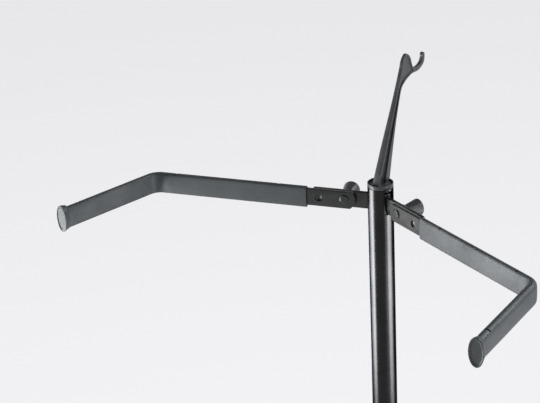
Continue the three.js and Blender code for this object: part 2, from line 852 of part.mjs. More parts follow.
// A brace's frame: X along the brace from the hub's pin, Y along the pin, Z towards the pole
function brace() {
  const outline = new THREE.Shape();
  outline.moveTo(0, -brace_half_height);
  outline.absarc(brace_length, 0, brace_half_height, -Math.PI / 2, Math.PI / 2, false);
  outline.absarc(0, 0, brace_half_height, Math.PI / 2, Math.PI * 1.5, false);
  outline.holes.push(circle(0, 0, hinge_pin_radius + clearance));
  const outside = lug_half + brace_sheet;
  const web = block(
    brace_web_start, brace_length - brace_web_margin, -outside, outside,
    brace_half_height - brace_sheet, brace_half_height,
  );
  const dome = () => turned([
    [0, lug_half + brace_sheet / 2],
    [brace_dome_radius, lug_half + brace_sheet / 2],
    [brace_dome_radius, outside + brace_dome_height / 2],
    [brace_dome_radius * brace_dome_crown_share, outside + brace_dome_height],
    [0, outside + brace_dome_height],
  ], small_steps);
  return join(
    solid(plate(outline, lug_half, outside)),
    solid(plate(outline, -outside, -lug_half)),
    solid(web),
    solid(dome().translate(brace_length, 0, 0)),
    solid(dome().rotateX(Math.PI).translate(brace_length, 0, 0)),
  );
}

function addLeg(stand, azimuth, number) {
  const sector = new THREE.Group();
  sector.rotation.z = azimuth;
  const leg = new THREE.Group();
  leg.position.set(hinge_distance, 0, collar_level);
  leg.rotation.y = Math.PI / 2 - leg_angle;
  leg.updateMatrix();
  piece(leg, `leg_${number}`, legTube(), materials.gloss_black);
  const brace_pin = rod(hinge_pin_radius, clearance - lug_half, lug_half - clearance);
  piece(leg, `brace_pin_${number}`, solid(brace_pin.translate(brace_length, 0, 0)), materials.zinc);
  piece(leg, `leg_pin_${number}`, hingePin(lug_half + cheek_thickness), materials.zinc);
  const strut = new THREE.Group();
  strut.position.set(hinge_distance, 0, hub_level);
  strut.rotation.y = leg_angle - Math.PI / 2;
  piece(strut, `brace_${number}`, brace(), materials.satin_black);
  piece(strut, `hub_pin_${number}`, hingePin(lug_half + brace_sheet), materials.zinc);
  piece(sector, `foot_${number}`, foot(leg.matrix), materials.rubber);
  sector.add(leg, strut);
  stand.add(sector);
}

function addBase(stand) {
  const hub = new THREE.Group();
  hub.position.z = hub_level;
  piece(hub, 'base_hub', baseHub(), materials.moulded);
  const collar = new THREE.Group();
  collar.position.z = collar_level;
  piece(collar, 'leg_collar', legCollar(), materials.moulded);
  const knob = geometryOf(starKnob(base_tube_radius + clearance)).rotateZ(Math.PI);
  piece(collar, 'collar_knob', solid(knob), materials.moulded);
  stand.add(hub, collar);
  leg_azimuths.forEach((azimuth, index) => addLeg(stand, azimuth, index + 1));
}

const stand = new THREE.Group();
addHead(stand);
addHeightClamp(stand);
addLowerSupport(stand);
addBase(stand);

// The origin is the middle of the stand's outline on the floor
stand.updateMatrixWorld(true);
const bounds = new THREE.Box3().setFromObject(stand, true);
const middle = bounds.getCenter(new THREE.Vector3());
stand.position.set(-middle.x, -middle.y, -bounds.min.z);

const object = new THREE.Group();
object.add(stand);
export default object;
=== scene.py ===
import math
import bmesh
import bpy
from mathutils import Matrix, Vector, noise


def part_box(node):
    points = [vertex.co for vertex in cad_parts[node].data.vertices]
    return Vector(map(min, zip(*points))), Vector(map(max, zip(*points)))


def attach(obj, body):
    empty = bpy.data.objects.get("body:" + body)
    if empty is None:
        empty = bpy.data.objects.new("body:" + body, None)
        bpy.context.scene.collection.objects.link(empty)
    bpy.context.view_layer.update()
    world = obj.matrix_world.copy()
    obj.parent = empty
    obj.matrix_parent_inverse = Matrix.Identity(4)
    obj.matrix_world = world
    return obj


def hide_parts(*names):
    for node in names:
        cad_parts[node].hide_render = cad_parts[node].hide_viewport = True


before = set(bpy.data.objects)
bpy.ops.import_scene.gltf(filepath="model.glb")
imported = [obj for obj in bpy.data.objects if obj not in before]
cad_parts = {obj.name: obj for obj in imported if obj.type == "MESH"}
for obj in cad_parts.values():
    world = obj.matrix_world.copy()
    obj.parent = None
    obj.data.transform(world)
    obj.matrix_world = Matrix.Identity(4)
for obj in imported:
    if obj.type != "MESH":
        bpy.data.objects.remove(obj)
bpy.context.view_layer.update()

# The shapes below are written in millimetres and turned into metres when a piece is made
MM = 0.001
RIGHT, LEFT = 1, -1
SIDES = (("left", LEFT), ("right", RIGHT))


def middle(node, axis):
    low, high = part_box(node)
    return (low[axis] + high[axis]) / 2 / MM


# Places taken from the frame
POLE_X = middle("pole_tube", 0)
POLE_Y = middle("pole_tube", 1)
POLE_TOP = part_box("pole_tube")[1].z / MM
POLE_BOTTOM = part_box("pole_tube")[0].z / MM
ARM_HEIGHT = middle("core_screw", 2)
LOWER_HEIGHT = middle("lower_bracket", 2)
TUBE_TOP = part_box("base_tube")[1].z / MM
TUBE_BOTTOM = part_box("base_tube")[0].z / MM
CLAMP_HEIGHT = middle("clamp_pad", 2)
COLLAR_HEIGHT = middle("leg_collar", 2)
HUB_HEIGHT = middle("base_hub", 2)

# Fits, and how far a cutter runs past what it cuts
CLEARANCE = 0.3
OVERRUN = 5

# Tubes
POLE_RADIUS = 15
WALL = 1.5
TUBE_RADIUS = 18

# Arms: (distance to the bend, distance from the bend to the tip), and what sets their ripples apart
UPPER_ARM = (276, 142)
LOWER_ARM = (205, 125)
UPPER_SEED = 7
LOWER_SEED = 11
ARM_SWEEP = math.radians(19.4)
TIP_SPLAY = math.radians(7.3)
BEND_TURN = math.pi / 2 - ARM_SWEEP - TIP_SPLAY
BEND_RADIUS = 17
BAR_HEIGHT = 20
BAR_THICKNESS = 5
BAR_EDGE = 0.8
BAR_END_RADIUS = 13
PIVOT_DISTANCE = 39.5
PIVOT_RISE = 1.4
DIMPLE_DISTANCE = 70.7
DIMPLE_RADIUS = 4.3
DIMPLE_DEPTH = 2.8
DIMPLE_WALL_SHARE = 0.3

# Sleeves
SLEEVE_START = 85.3
SLEEVE_HEIGHT = 25.8
SLEEVE_THICKNESS = 9.2
SLEEVE_ROUNDING = 3.4
OUTER_ROUNDING_SHARE = 1.55
INNER_ROUNDING_SHARE = 0.6
SLEEVE_CROWN = 0.5
SLEEVE_MOUTH_SHARES = (0.5, 0.85, 1.0)
SLEEVE_MOUTH_INSET = 1.4
SLEEVE_MOUTH_LENGTH = 1.2
SLEEVE_END_WALL = 6
LIP_HEIGHT = 33
LIP_THICKNESS = 17
LIP_LENGTH = 9
LIP_DISH = 0.9
LIP_GAP = 1
LIP_OVAL_RATE = 1.6
SLIT_WIDTH = 2.3
SLIT_LENGTH = 7.6
SLIT_DEPTH = 2.4
SLIT_DISTANCE = 120
SLIT_BEFORE_BEND = 27
SLIT_BEFORE_TIP = 26
RIPPLE_DEPTH = 0.22
RIPPLE_LENGTH = 55
RIPPLE_HEIGHT = 40
RIPPLE_SIDE_GAP = 5
PUCKER_SHARE = 0.9
# Ridge and groove of the pucker: (distance before the bend, width)
PUCKER_RIDGE = (20, 4)
PUCKER_GROOVE = (13, 5)

# Links, their pins and the core that holds them
LINK_START = 1
LINK_END = 80
LINK_CORNER = 3
LINK_PIN_DISTANCE = 6
LINK_PIN_RADIUS = 2
LINK_PIN_ENDS = (-2.4, 12.6)
CORE_ENDS = (-16, 13)
SLOT_ENDS = (-11.9, 17)
SLOT_WIDTH = 11.6
SLOT_CORNER = 3
SLOT_TURN = math.radians(15)
SLOT_CUT_SHARES = (-1.5, -0.5)
CORE_SCREW_RADIUS = 2
CORE_SCREW_HEAD = (4, 2.2)
CORE_SCREW_TIP = 6.5
SCREW_DOME_SHARE = 0.7
CROSS_SLOT = (-0.4, 0.4)
CROSS_REACH_SHARE = 0.6
CROSS_FLOOR_SHARE = 0.4

# Pivot bolts, washers and tapered knobs
BOLT_RADIUS = 4
BOLT_HEAD = (5.4, 1.1)
# The head's profile: (share of its radius, share of its height, edge as a share of its height)
BOLT_HEAD_SHARES = [(0, 1, 0), (0.8, 0.96, 0.4), (1, 0.5, 0.3), (1, 0, 0)]
WASHER_RADIUS = 8
WASHER_THICKNESS = 1.2
KNOB_ROOT_RADIUS = 6.4
KNOB_TIP_RADIUS = 10.2
KNOB_LENGTH = 20
KNOB_EDGE = 2.5
KNOB_RIM = 1.5
KNOB_FLOOR = 3

# Cap and bow holder
CAP_RISE = 5
CAP_WALL = 1.2
CAP_LEDGE = 1.6
CAP_BORE = 11
CAP_SPIGOT = 4
DISC_RADIUS = 13
DISC_HEIGHT = 1
HOLDER_HEIGHT = 138.5
HOLDER_ROOT_WIDTH = 8.4
HOLDER_WEB = 1.8
HOLDER_EDGE = 0.75
HOLDER_SEGMENTS = 4
HOLDER_ANGLE = 50

# Height clamp, pole plug and lobed knobs
BUSH_LENGTH = 30
BUSH_FLANGE = 2
CLAMP_RADIUS = 23
CLAMP_ENDS = (-16, 24)
PAD_RADIUS = 4
PAD_LENGTH = 2.5
PLUG_FLANGE = 8
PLUG_SPIGOT = 20
BOSS_RADIUS = 9
BOSS_END = 34
SCREW_RADIUS = 3
STAR_RADIUS = 17
STAR_THICKNESS = 12
STAR_EDGE = 2
STAR_SEGMENTS = 5
STAR_HUB_RADIUS = 8
STAR_HUB_LENGTH = 5
STAR_LOBES = 5
STAR_LOBE_SHARE = 0.13
STAR_DISH_SHARES = (0.42, 0.48)
STAR_DISH_DEPTH = 1
STAR_DISH_EDGE = 0.9

# Lower bracket and folding base
BRACKET_RADIUS = 22
BRACKET_HEIGHT = 40
LEG_ANGLE = math.radians(58)
LEG_LENGTH = 410
LEG_RADIUS = 10
LEG_AZIMUTHS = [math.radians(angle) for angle in (90, 210, 330)]
HINGE_DISTANCE = 38
HINGE_PIN_RADIUS = 3
PIN_HEAD = (5, 2)
RIVET_DOME_SHARE = 0.8
COLLAR_RADIUS = 25
RING_HEIGHT = 36
LUG_HEIGHT = 20
CHEEK_THICKNESS = 4
LUG_GAP = 0.5
HUB_FLOOR = 8
BRACE_LENGTH = 150
BRACE_HALF_HEIGHT = 9
BRACE_SHEET = 2.5
BRACE_WEB_ENDS = (26, 116)
BRACE_WEB_INSET = 0.5
BRACE_WEB_SKIN = 0.05
BRACE_DOME = (4.5, 1.5)
DOME_ROOT = 1
FOOT_RADIUS = 13
FOOT_LENGTH = 40
FOOT_ROUND = 4
FOOT_FLOOR = 6
FOOT_GROOVES = 4
GROOVE_SPACING = 4
# A groove's profile: (depth, distance along the foot)
GROOVE = [(0, 0), (0.6, 0.5), (0.6, 1.3), (0, 1.8)]

# Radii of small edges
SEAT_EDGE = 0.2
PIN_EDGE = 0.3
TURNED_EDGE = 0.4
MOULDED_EDGE = 0.5
CAP_RIM_EDGE = 0.55
NECK_EDGE = 0.6
CORE_EDGE = 0.8
END_EDGE = 1
HUB_EDGE = 1.2
CLAMP_FOOT_EDGE = 1.5
HUB_FOOT_EDGE = 2
CLAMP_TOP_EDGE = 3

# Sizes that follow from those above; IN and ON are the radii that fit in and on a tube
IN_POLE = POLE_RADIUS - WALL - CLEARANCE
ON_POLE = POLE_RADIUS + CLEARANCE
IN_TUBE = TUBE_RADIUS - WALL - CLEARANCE
ON_TUBE = TUBE_RADIUS + CLEARANCE
BEND_TANGENT = BEND_RADIUS * math.tan(BEND_TURN / 2)
BEND_ARC = BEND_RADIUS * BEND_TURN
LINK_FRONT = BAR_THICKNESS / 2 + CLEARANCE
LINK_BACK = LINK_FRONT + BAR_THICKNESS
ARM_SETBACK = (LINK_FRONT + LINK_BACK) / 2 / math.cos(ARM_SWEEP)
KNOB_FRONT = LINK_BACK + CLEARANCE + WASHER_THICKNESS + CLEARANCE
CAP_RIM = POLE_TOP + CAP_RISE
CAP_SEAT = POLE_TOP + CLEARANCE
CAP_FLOOR = CAP_SEAT + CAP_LEDGE
CAP_FOOT = POLE_TOP - CAP_SPIGOT
LUG_HALF = LEG_RADIUS + LUG_GAP

# Fineness of the curved shapes
LATHE_STEPS = 96
SMALL_STEPS = 48
ROUND_STEPS = 5
END_STEPS = 12
BEND_STEPS = 12
SLEEVE_BEND_STEPS = 10
RING_SPACING = 4
LONG_SIDE_STEPS = 8
SHORT_SIDE_STEPS = 4
DIMPLE_STEPS = 8
CURVE_STEPS = 4
STAR_STEPS = 120
EDGE_SEGMENTS = 3
EDGE_ANGLE = 40
SMOOTH_ANGLE = math.radians(38)
WELD_DISTANCE = 1e-4
SLIVER_LENGTH = 1e-5
# A rounding just under a half circle, so that its two arcs stay apart
NEARLY = 0.999

ALONG_Y = Matrix.Rotation(-math.pi / 2, 4, "X")
ALONG_X = Matrix.Rotation(math.pi / 2, 4, "Y")
HALF_TURN = Matrix.Rotation(math.pi, 4, "Z")
# Stands an outline up in Y and Z, with its thickness along X
SIDEWAYS = Matrix(((0, 0, 1, 0), (1, 0, 0, 0), (0, 1, 0, 0), (0, 0, 0, 1)))
POLE = Matrix.Translation((POLE_X, POLE_Y, 0))

# What the lamps light: all the pieces, the gloss black ones alone, or the floor alone
LIT = bpy.data.collections.new("lit")
GLOSS = bpy.data.collections.new("gloss")
FLOOR_ONLY = bpy.data.collections.new("floor_only")


def shift(x, y, z):
    return Matrix.Translation((x, y, z))


def turn(angle, axis):
    return Matrix.Rotation(angle, 4, axis)


def on_axis(height):
    return POLE @ shift(0, 0, height)


# Mesh helpers: every solid is built in millimetres in its own frame
def solid(points, faces, place=Matrix(), turned=False):
    mesh = bpy.data.meshes.new("solid")
    mesh.from_pydata([place @ Vector(point) for point in points], [], faces)
    shape = bmesh.new()
    shape.from_mesh(mesh)
    bmesh.ops.remove_doubles(shape, verts=shape.verts, dist=WELD_DISTANCE)
    if turned:
        bmesh.ops.dissolve_degenerate(shape, edges=shape.edges, dist=SLIVER_LENGTH)
    bmesh.ops.recalc_face_normals(shape, faces=shape.faces)
    shape.to_mesh(mesh)
    shape.free()
    piece = bpy.data.objects.new("solid", mesh)
    bpy.context.scene.collection.objects.link(piece)
    return piece


def bands(rows, count):
    """The faces between rows of points, each row a loop of count points."""
    faces = []
    for start in range(0, (rows - 1) * count, count):
        for step in range(count):
            after = (step + 1) % count
            faces.append([start + step, start + after, start + count + after, start + count + step])
    return faces


def rounded(corners, steps=ROUND_STEPS):
    """The points of a polygon of (a, b) or (a, b, radius) corners, with an arc where there is a radius."""
    points = []
    for index, corner in enumerate(corners):
        here = Vector(corner[:2])
        radius = corner[2] if len(corner) > 2 else 0
        if radius == 0:
            points.append(here)
            continue
        before = (Vector(corners[index - 1][:2]) - here).normalized()
        after = (Vector(corners[(index + 1) % len(corners)][:2]) - here).normalized()
        half = before.angle(after) / 2
        centre = here + (before + after).normalized() * radius / math.sin(half)
        start = here + before * radius / math.tan(half) - centre
        sweep = start.angle_signed(here + after * radius / math.tan(half) - centre)
        for step in range(steps + 1):
            points.append(centre + Matrix.Rotation(-sweep * step / steps, 2) @ start)
    return points


def rectangle(x_ends, y_ends, radius=0, steps=ROUND_STEPS):
    (x0, x1), (y0, y1) = x_ends, y_ends
    return rounded([(x, y, radius) for x, y in ((x0, y0), (x1, y0), (x1, y1), (x0, y1))], steps)


def lathe(corners, place=Matrix(), steps=LATHE_STEPS):
    """Turns a profile of (radius, height) or (radius, height, edge) corners about +Z.

    A profile that starts on the axis ends there too, and any other is closed.
    """
    profile = rounded(corners)
    if corners[0][0] > 0:
        profile.append(profile[0])
    points = []
    for radius, height in profile:
        for step in range(steps):
            angle = 2 * math.pi * step / steps
            points.append((radius * math.cos(angle), radius * math.sin(angle), height))
    return solid(points, bands(len(profile), steps), place, turned=True)


def rod(radius, low, high, place=Matrix(), edge=0, steps=SMALL_STEPS):
    return lathe([(0, low), (radius, low, edge), (radius, high, edge), (0, high)], place, steps)


def ring(inner, outer, low, high, edge, place=Matrix(), steps=LATHE_STEPS):
    corners = [(inner, low, edge), (outer, low, edge), (outer, high, edge), (inner, high, edge)]
    return lathe(corners, place, steps)


def spindle(corners, place=Matrix()):
    """A small turned solid about +Y."""
    return lathe(corners, place @ ALONG_Y, SMALL_STEPS)


def pin(radius, low, high, place=Matrix(), edge=0):
    """A small rod along +Y."""
    return rod(radius, low, high, place @ ALONG_Y, edge)


def prism(outline, low, high, place=Matrix()):
    """Fills an outline of (x, y) points from low to high in Z."""
    count = len(outline)
    points = [(x, y, z) for z in (low, high) for x, y in outline]
    ends = [list(range(count))[::-1], list(range(count, 2 * count))]
    return solid(points, ends + bands(2, count), place)


def plate(outline, front, back, place=Matrix()):
    """Fills an outline of (x, z) points from front to back in Y."""
    return prism(outline, -back, -front, place @ turn(math.pi / 2, "X"))


def block(x_ends, y_ends, z_ends, place=Matrix()):
    return prism(rectangle(x_ends, y_ends), *z_ends, place)


def settle(piece):
    """Applies the modifiers of a piece."""
    depsgraph = bpy.context.evaluated_depsgraph_get()
    mesh = bpy.data.meshes.new_from_object(piece.evaluated_get(depsgraph))
    piece.modifiers.clear()
    piece.data = mesh
    return piece


def combine(piece, others, operation):
    for other in others:
        change = piece.modifiers.new(operation, "BOOLEAN")
        change.operation = operation
        change.solver = "MANIFOLD"
        change.object = other
    settle(piece)
    for other in others:
        bpy.data.objects.remove(other)
    return piece


def cut(piece, *others):
    return combine(piece, others, "DIFFERENCE")


def join(piece, *others):
    return combine(piece, others, "UNION")


def soften(piece, width, segments=EDGE_SEGMENTS, angle=EDGE_ANGLE):
    change = piece.modifiers.new("edges", "BEVEL")
    change.width = width
    change.segments = segments
    change.limit_method = "ANGLE"
    change.angle_limit = math.radians(angle)
    return settle(piece)


def finish_piece(piece, node, body, material, place=Matrix()):
    """Names a piece after the part it stands for, moves it to its place in metres, gives it its material,
    hangs it on its body and hides the part.
    """
    piece.name = node + "_piece"
    piece.data.name = piece.name
    piece.data.transform(Matrix.Scale(MM, 4) @ place)
    piece.data.shade_smooth()
    piece.data.set_sharp_from_angle(angle=SMOOTH_ANGLE)
    piece.data.materials.clear()
    piece.data.materials.append(MATERIALS[material])
    LIT.objects.link(piece)
    if material == "gloss_black":
        GLOSS.objects.link(piece)
    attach(piece, body)
    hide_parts(node)
    return piece


# Materials: colour and roughness are a noise as (scale, detail, roughness) and two stops of its value, and
# grain is a noise and its depth in metres
MATERIAL_ROWS = {
    # Black gloss coat on steel tube: almost a mirror, with a faint orange peel and a few soft smears
    "gloss_black": {
        "colour": [(28, 3, 0.5), (0.35, (0.020, 0.020, 0.0205)), (0.7, (0.026, 0.026, 0.0265))],
        "roughness": [(28, 3, 0.5), (0.3, 0.22), (0.75, 0.27)],
        "grain": [(420, 2, 0.5), 0.000004],
        "constants": {"Metallic": 1, "Specular Tint": (0.35, 0.36, 0.38, 1)},
    },
    # Satin black coat on flat steel: fine grain, slightly paler where the coat is thin
    "satin_black": {
        "colour": [(160, 5, 0.5), (0.3, (0.008, 0.009, 0.009)), (0.75, (0.016, 0.017, 0.018))],
        "roughness": [(60, 3, 0.5), (0.3, 0.23), (0.7, 0.31)],
        "grain": [(1500, 2, 0.5), 0.00001],
    },
    # Slate grey moulded rubber: matt, with a fine skin and a pale dusty bloom
    "rubber": {
        "colour": [(22, 6, 0.6), (0.3, (0.024, 0.029, 0.031)), (0.66, (0.048, 0.054, 0.057))],
        "roughness": [(22, 6, 0.6), (0.32, 0.54), (0.66, 0.41)],
        "grain": [(900, 4, 0.6), 0.000008],
        "constants": {"Specular IOR Level": 0.54, "Specular Tint": (0.9, 0.945, 1, 1)},
    },
    # Dark grey moulded nylon with a fine spark-eroded grain
    "moulded": {
        "colour": [(70, 4, 0.5), (0.3, (0.034, 0.038, 0.040)), (0.72, (0.050, 0.055, 0.058))],
        "roughness": [(200, 3, 0.5), (0.3, 0.32), (0.7, 0.4)],
        "grain": [(2200, 2, 0.5), 0.00001],
    },
    # Bright zinc plate, a little cloudy
    "zinc": {
        "colour": [(120, 4, 0.5), (0.3, (0.42, 0.43, 0.44)), (0.7, (0.56, 0.57, 0.57))],
        "roughness": [(300, 3, 0.5), (0.3, 0.28), (0.7, 0.42)],
        "grain": [(1200, 2, 0.5), 0.00001],
        "constants": {"Metallic": 1},
    },
}


def new_material(name):
    material = bpy.data.materials.new(name)
    material.use_nodes = True
    return material, material.node_tree, material.node_tree.nodes["Principled BSDF"]


def object_noise(tree, scale, detail, roughness):
    place = tree.nodes.new("ShaderNodeTexCoord")
    texture = tree.nodes.new("ShaderNodeTexNoise")
    texture.inputs["Scale"].default_value = scale
    texture.inputs["Detail"].default_value = detail
    texture.inputs["Roughness"].default_value = roughness
    tree.links.new(place.outputs["Object"], texture.inputs["Vector"])
    return texture.outputs["Fac"]


def ramp(tree, source, stops):
    """Maps a grey value to colours or greys: two stops of (place, value) or (place, (r, g, b))."""
    node = tree.nodes.new("ShaderNodeValToRGB")
    for element, (place, value) in zip(node.color_ramp.elements, stops):
        element.position = place
        colour = value if isinstance(value, tuple) else (value, value, value)
        element.color = (*colour, 1)
    tree.links.new(source, node.inputs["Fac"])
    return node.outputs["Color"]


def make_material(name, row):
    material, tree, shader = new_material(name)
    for key, socket in (("colour", "Base Color"), ("roughness", "Roughness")):
        cloud, *stops = row[key]
        tree.links.new(ramp(tree, object_noise(tree, *cloud), stops), shader.inputs[socket])
    for socket, value in row.get("constants", {}).items():
        shader.inputs[socket].default_value = value
    grain, depth = row["grain"]
    bump = tree.nodes.new("ShaderNodeBump")
    bump.inputs["Distance"].default_value = depth
    tree.links.new(object_noise(tree, *grain), bump.inputs["Height"])
    tree.links.new(bump.outputs["Normal"], shader.inputs["Normal"])
    return material


MATERIALS = {name: make_material(name, row) for name, row in MATERIAL_ROWS.items()}


# Arms
def arm_frame(side, height):
    """X along the link, Y to the back; the left arm is the right one turned over."""
    flip = math.pi if side == LEFT else 0
    return POLE @ shift(0, -ARM_SETBACK, height) @ turn(-side * ARM_SWEEP, "Z") @ turn(flip, "Y")


def pivot(up):
    """The pivot's place in the arm's frame, up being the way that is up there."""
    return shift(PIVOT_DISTANCE, 0, up * PIVOT_RISE)


def bent_path(start, run, reach, off):
    """The points of a line beside the arm's middle line, off to the back by that much."""
    centre = Vector((run - BEND_TANGENT, -BEND_RADIUS))
    points = [Vector((start, off))]
    for step in range(BEND_STEPS + 1):
        angle = math.pi / 2 - BEND_TURN * step / BEND_STEPS
        points.append(centre + Vector((math.cos(angle), math.sin(angle))) * (BEND_RADIUS + off))
    tip = Vector((run, 0)) + Vector((math.cos(BEND_TURN), -math.sin(BEND_TURN))) * reach
    points.append(tip + Vector((math.sin(BEND_TURN), math.cos(BEND_TURN))) * off)
    return points


def bent_strip(start, run, reach, half, low, high):
    outline = bent_path(start, run, reach, -half) + bent_path(start, run, reach, half)[::-1]
    return prism(outline, low, high)


def dimple():
    """The hollow of a pressed dimple: a short upright wall, then a bowl."""
    face = -BAR_THICKNESS / 2
    wall = DIMPLE_DEPTH * DIMPLE_WALL_SHARE
    bowl = [(0, face - OVERRUN), (DIMPLE_RADIUS, face - OVERRUN)]
    for step in range(DIMPLE_STEPS + 1):
        angle = math.pi / 2 * step / DIMPLE_STEPS
        bowl.append((DIMPLE_RADIUS * math.cos(angle), face + wall + (DIMPLE_DEPTH - wall) * math.sin(angle)))
    return spindle(bowl, shift(DIMPLE_DISTANCE, 0, 0))


def arm_bar(run, reach, up):
    bar = bent_strip(PIVOT_DISTANCE - BAR_END_RADIUS - OVERRUN, run, reach - SLEEVE_END_WALL - CLEARANCE,
                     BAR_THICKNESS / 2, -BAR_HEIGHT / 2, BAR_HEIGHT / 2)
    keep = rod(BAR_END_RADIUS, -BAR_HEIGHT, BAR_HEIGHT, pivot(up) @ ALONG_Y, steps=LATHE_STEPS)
    away = block((0, PIVOT_DISTANCE), (-BAR_HEIGHT / 2, BAR_HEIGHT / 2), (-BAR_HEIGHT, BAR_HEIGHT))
    cut(bar, cut(away, keep))
    soften(bar, BAR_EDGE)
    hole = pin(BOLT_RADIUS + CLEARANCE, -BAR_THICKNESS, BAR_THICKNESS, pivot(up))
    return cut(bar, hole, dimple())


# The outside of the lip: (place as a share of the lip's length, from its root at -1 to its tip at 0, share of
# the way from the sleeve's size to the lip's)
LIP_SHARES = [(-1, 0.0), (-0.93, 0.25), (-0.84, 0.5), (-0.7, 0.62), (-0.55, 0.72), (-0.4, 0.82),
              (-0.25, 0.91), (-0.14, 0.97), (-0.07, 1.0), (-0.02, 0.985)]
# The face of the lip, from its rim to its middle: (share of the lip's size, share of the dish's depth)
LIP_FACE_SHARES = [(0.96, 0.0), (0.92, 0.0), (0.89, 0.1), (0.86, 0.4), (0.83, 0.7), (0.79, 0.9),
                   (0.7, 1.0), (0.3, 1.0)]


def section(half_thickness, half_height, rounding, oval):
    """A sleeve's section as (across, up) points: a rounded rectangle at oval 0, an ellipse at oval 1."""
    outer, inner = rounding * OUTER_ROUNDING_SHARE, rounding * INNER_ROUNDING_SHARE
    points = rounded([(half_thickness, -half_height, outer), (half_thickness, half_height, outer),
                      (-half_thickness, half_height, inner), (-half_thickness, -half_height, inner)])
    shaped = []
    for index, point in enumerate(points):
        after = points[(index + 1) % len(points)]
        side_steps = 1
        if (index + 1) % (ROUND_STEPS + 1) == 0:
            side_steps = SHORT_SIDE_STEPS if point.y * after.y > 0 else LONG_SIDE_STEPS
        for step in range(side_steps):
            place = point.lerp(after, step / side_steps)
            angle = math.atan2(place.y / half_height, place.x / half_thickness)
            ellipse = Vector((half_thickness * math.cos(angle), half_height * math.sin(angle)))
            shaped.append(place.lerp(ellipse, oval))
    return shaped


def spaced(start, end):
    """Distances from start to short of end, at the rings' spacing."""
    distances = []
    while start < end:
        distances.append(start)
        start += RING_SPACING
    return distances


def sleeve_rings(run, reach):
    """Each ring is (distance along the arm, half thickness, half height, rounding, oval)."""
    half_t, half_h = SLEEVE_THICKNESS / 2, SLEEVE_HEIGHT / 2
    rings = []
    for share in SLEEVE_MOUTH_SHARES:
        inset = (1 - share) * SLEEVE_MOUTH_INSET
        along = SLEEVE_START + (1 - math.sqrt(1 - (1 - share) ** 2)) * SLEEVE_MOUTH_LENGTH
        rings.append((along, half_t - inset, half_h - inset, SLEEVE_ROUNDING, 0))
    bend_start = run - BEND_TANGENT
    bend_end = bend_start + BEND_ARC
    end = bend_end + reach - BEND_TANGENT
    distances = spaced(SLEEVE_START + RING_SPACING, bend_start)
    distances.extend(bend_start + BEND_ARC * step / SLEEVE_BEND_STEPS
                     for step in range(SLEEVE_BEND_STEPS + 1))
    distances.extend(spaced(bend_end + RING_SPACING, end - LIP_LENGTH - LIP_GAP))
    rings.extend((along, half_t, half_h, SLEEVE_ROUNDING, 0) for along in distances)
    for place, width in LIP_SHARES:
        thick = half_t + (LIP_THICKNESS / 2 - half_t) * width
        high = half_h + (LIP_HEIGHT / 2 - half_h) * width
        rings.append((end + place * LIP_LENGTH, thick, high, SLEEVE_ROUNDING, min(1, LIP_OVAL_RATE * width)))
    for width, dish in LIP_FACE_SHARES:
        rings.append((end - dish * LIP_DISH, LIP_THICKNESS / 2 * width, LIP_HEIGHT / 2 * width,
                      SLEEVE_ROUNDING * width, 1))
    return rings


def on_arm(along, run, across):
    """The place of a point along the arm's middle line, off to the back by across."""
    bend_start = run - BEND_TANGENT
    if along <= bend_start:
        return Vector((along, across))
    centre = Vector((bend_start, -BEND_RADIUS))
    turned = min(1, (along - bend_start) / BEND_ARC) * BEND_TURN
    sideways = Vector((math.sin(turned), math.cos(turned)))
    onward = Vector((math.cos(turned), -math.sin(turned)))
    beyond = max(0, along - bend_start - BEND_ARC)
    return centre + sideways * (BEND_RADIUS + across) + onward * beyond


def hump(distance, width):
    return math.exp(-(distance / width) ** 2)


def ripple(along, across, height, bend, seed):
    """How far the soft skin stands in or out: slow waves along it, and a pucker before the bend."""
    wave = noise.noise(Vector((along / RIPPLE_LENGTH, height / RIPPLE_HEIGHT + seed,
                               RIPPLE_SIDE_GAP * math.copysign(1, across))))
    (ridge, ridge_width), (groove, groove_width) = PUCKER_RIDGE, PUCKER_GROOVE
    pucker = hump(along - bend + ridge, ridge_width) - hump(along - bend + groove, groove_width)
    return RIPPLE_DEPTH * (wave + PUCKER_SHARE * pucker)


def arm_sleeve(run, reach, up, seed):
    points = []
    rings = sleeve_rings(run, reach)
    for along, half_t, half_h, rounding, oval in rings:
        for across, height in section(half_t, half_h, rounding, oval):
            side = math.copysign(1, across)
            across -= side * (1 - oval) * SLEEVE_CROWN * (height / half_h) ** 2
            if oval == 0 and abs(height) < half_h - rounding / 2:
                across += side * ripple(along, across, height, run, seed)
            points.append((*on_arm(along, run, across), height))
    count = len(points) // len(rings)
    ends = [list(range(count)), list(range(len(points) - count, len(points)))]
    sleeve = solid(points, bands(len(rings), count) + ends)
    half = BAR_HEIGHT / 2 + CLEARANCE
    cutters = [bent_strip(SLEEVE_START - OVERRUN, run, reach - SLEEVE_END_WALL,
                          BAR_THICKNESS / 2 + CLEARANCE, -half, half)]
    top = up * SLEEVE_HEIGHT / 2
    total = run - 2 * BEND_TANGENT + BEND_ARC + reach
    for along in (SLIT_DISTANCE, run - SLIT_BEFORE_BEND, total - SLIT_BEFORE_TIP):
        x, y = on_arm(along, run, 0)
        angle = 0 if along < run - BEND_TANGENT else -BEND_TURN
        cutters.append(block((-SLIT_WIDTH / 2, SLIT_WIDTH / 2), (-SLIT_LENGTH / 2, SLIT_LENGTH / 2),
                             (-SLIT_DEPTH, SLIT_DEPTH), shift(x, y, top) @ turn(angle, "Z")))
    return cut(sleeve, *cutters)


def through_link(radius, place):
    return pin(radius + CLEARANCE, LINK_FRONT - OVERRUN, LINK_BACK + OVERRUN, place)


def link_bar(up, *holes):
    """A flat link with the hole for its pivot bolt."""
    half = BAR_HEIGHT / 2
    outline = rounded([(LINK_START, -half), (LINK_END, -half, LINK_CORNER), (LINK_END, half, LINK_CORNER),
                       (LINK_START, half)])
    bar = soften(plate(outline, LINK_FRONT, LINK_BACK), BAR_EDGE)
    return cut(bar, through_link(BOLT_RADIUS, pivot(up)), *holes)


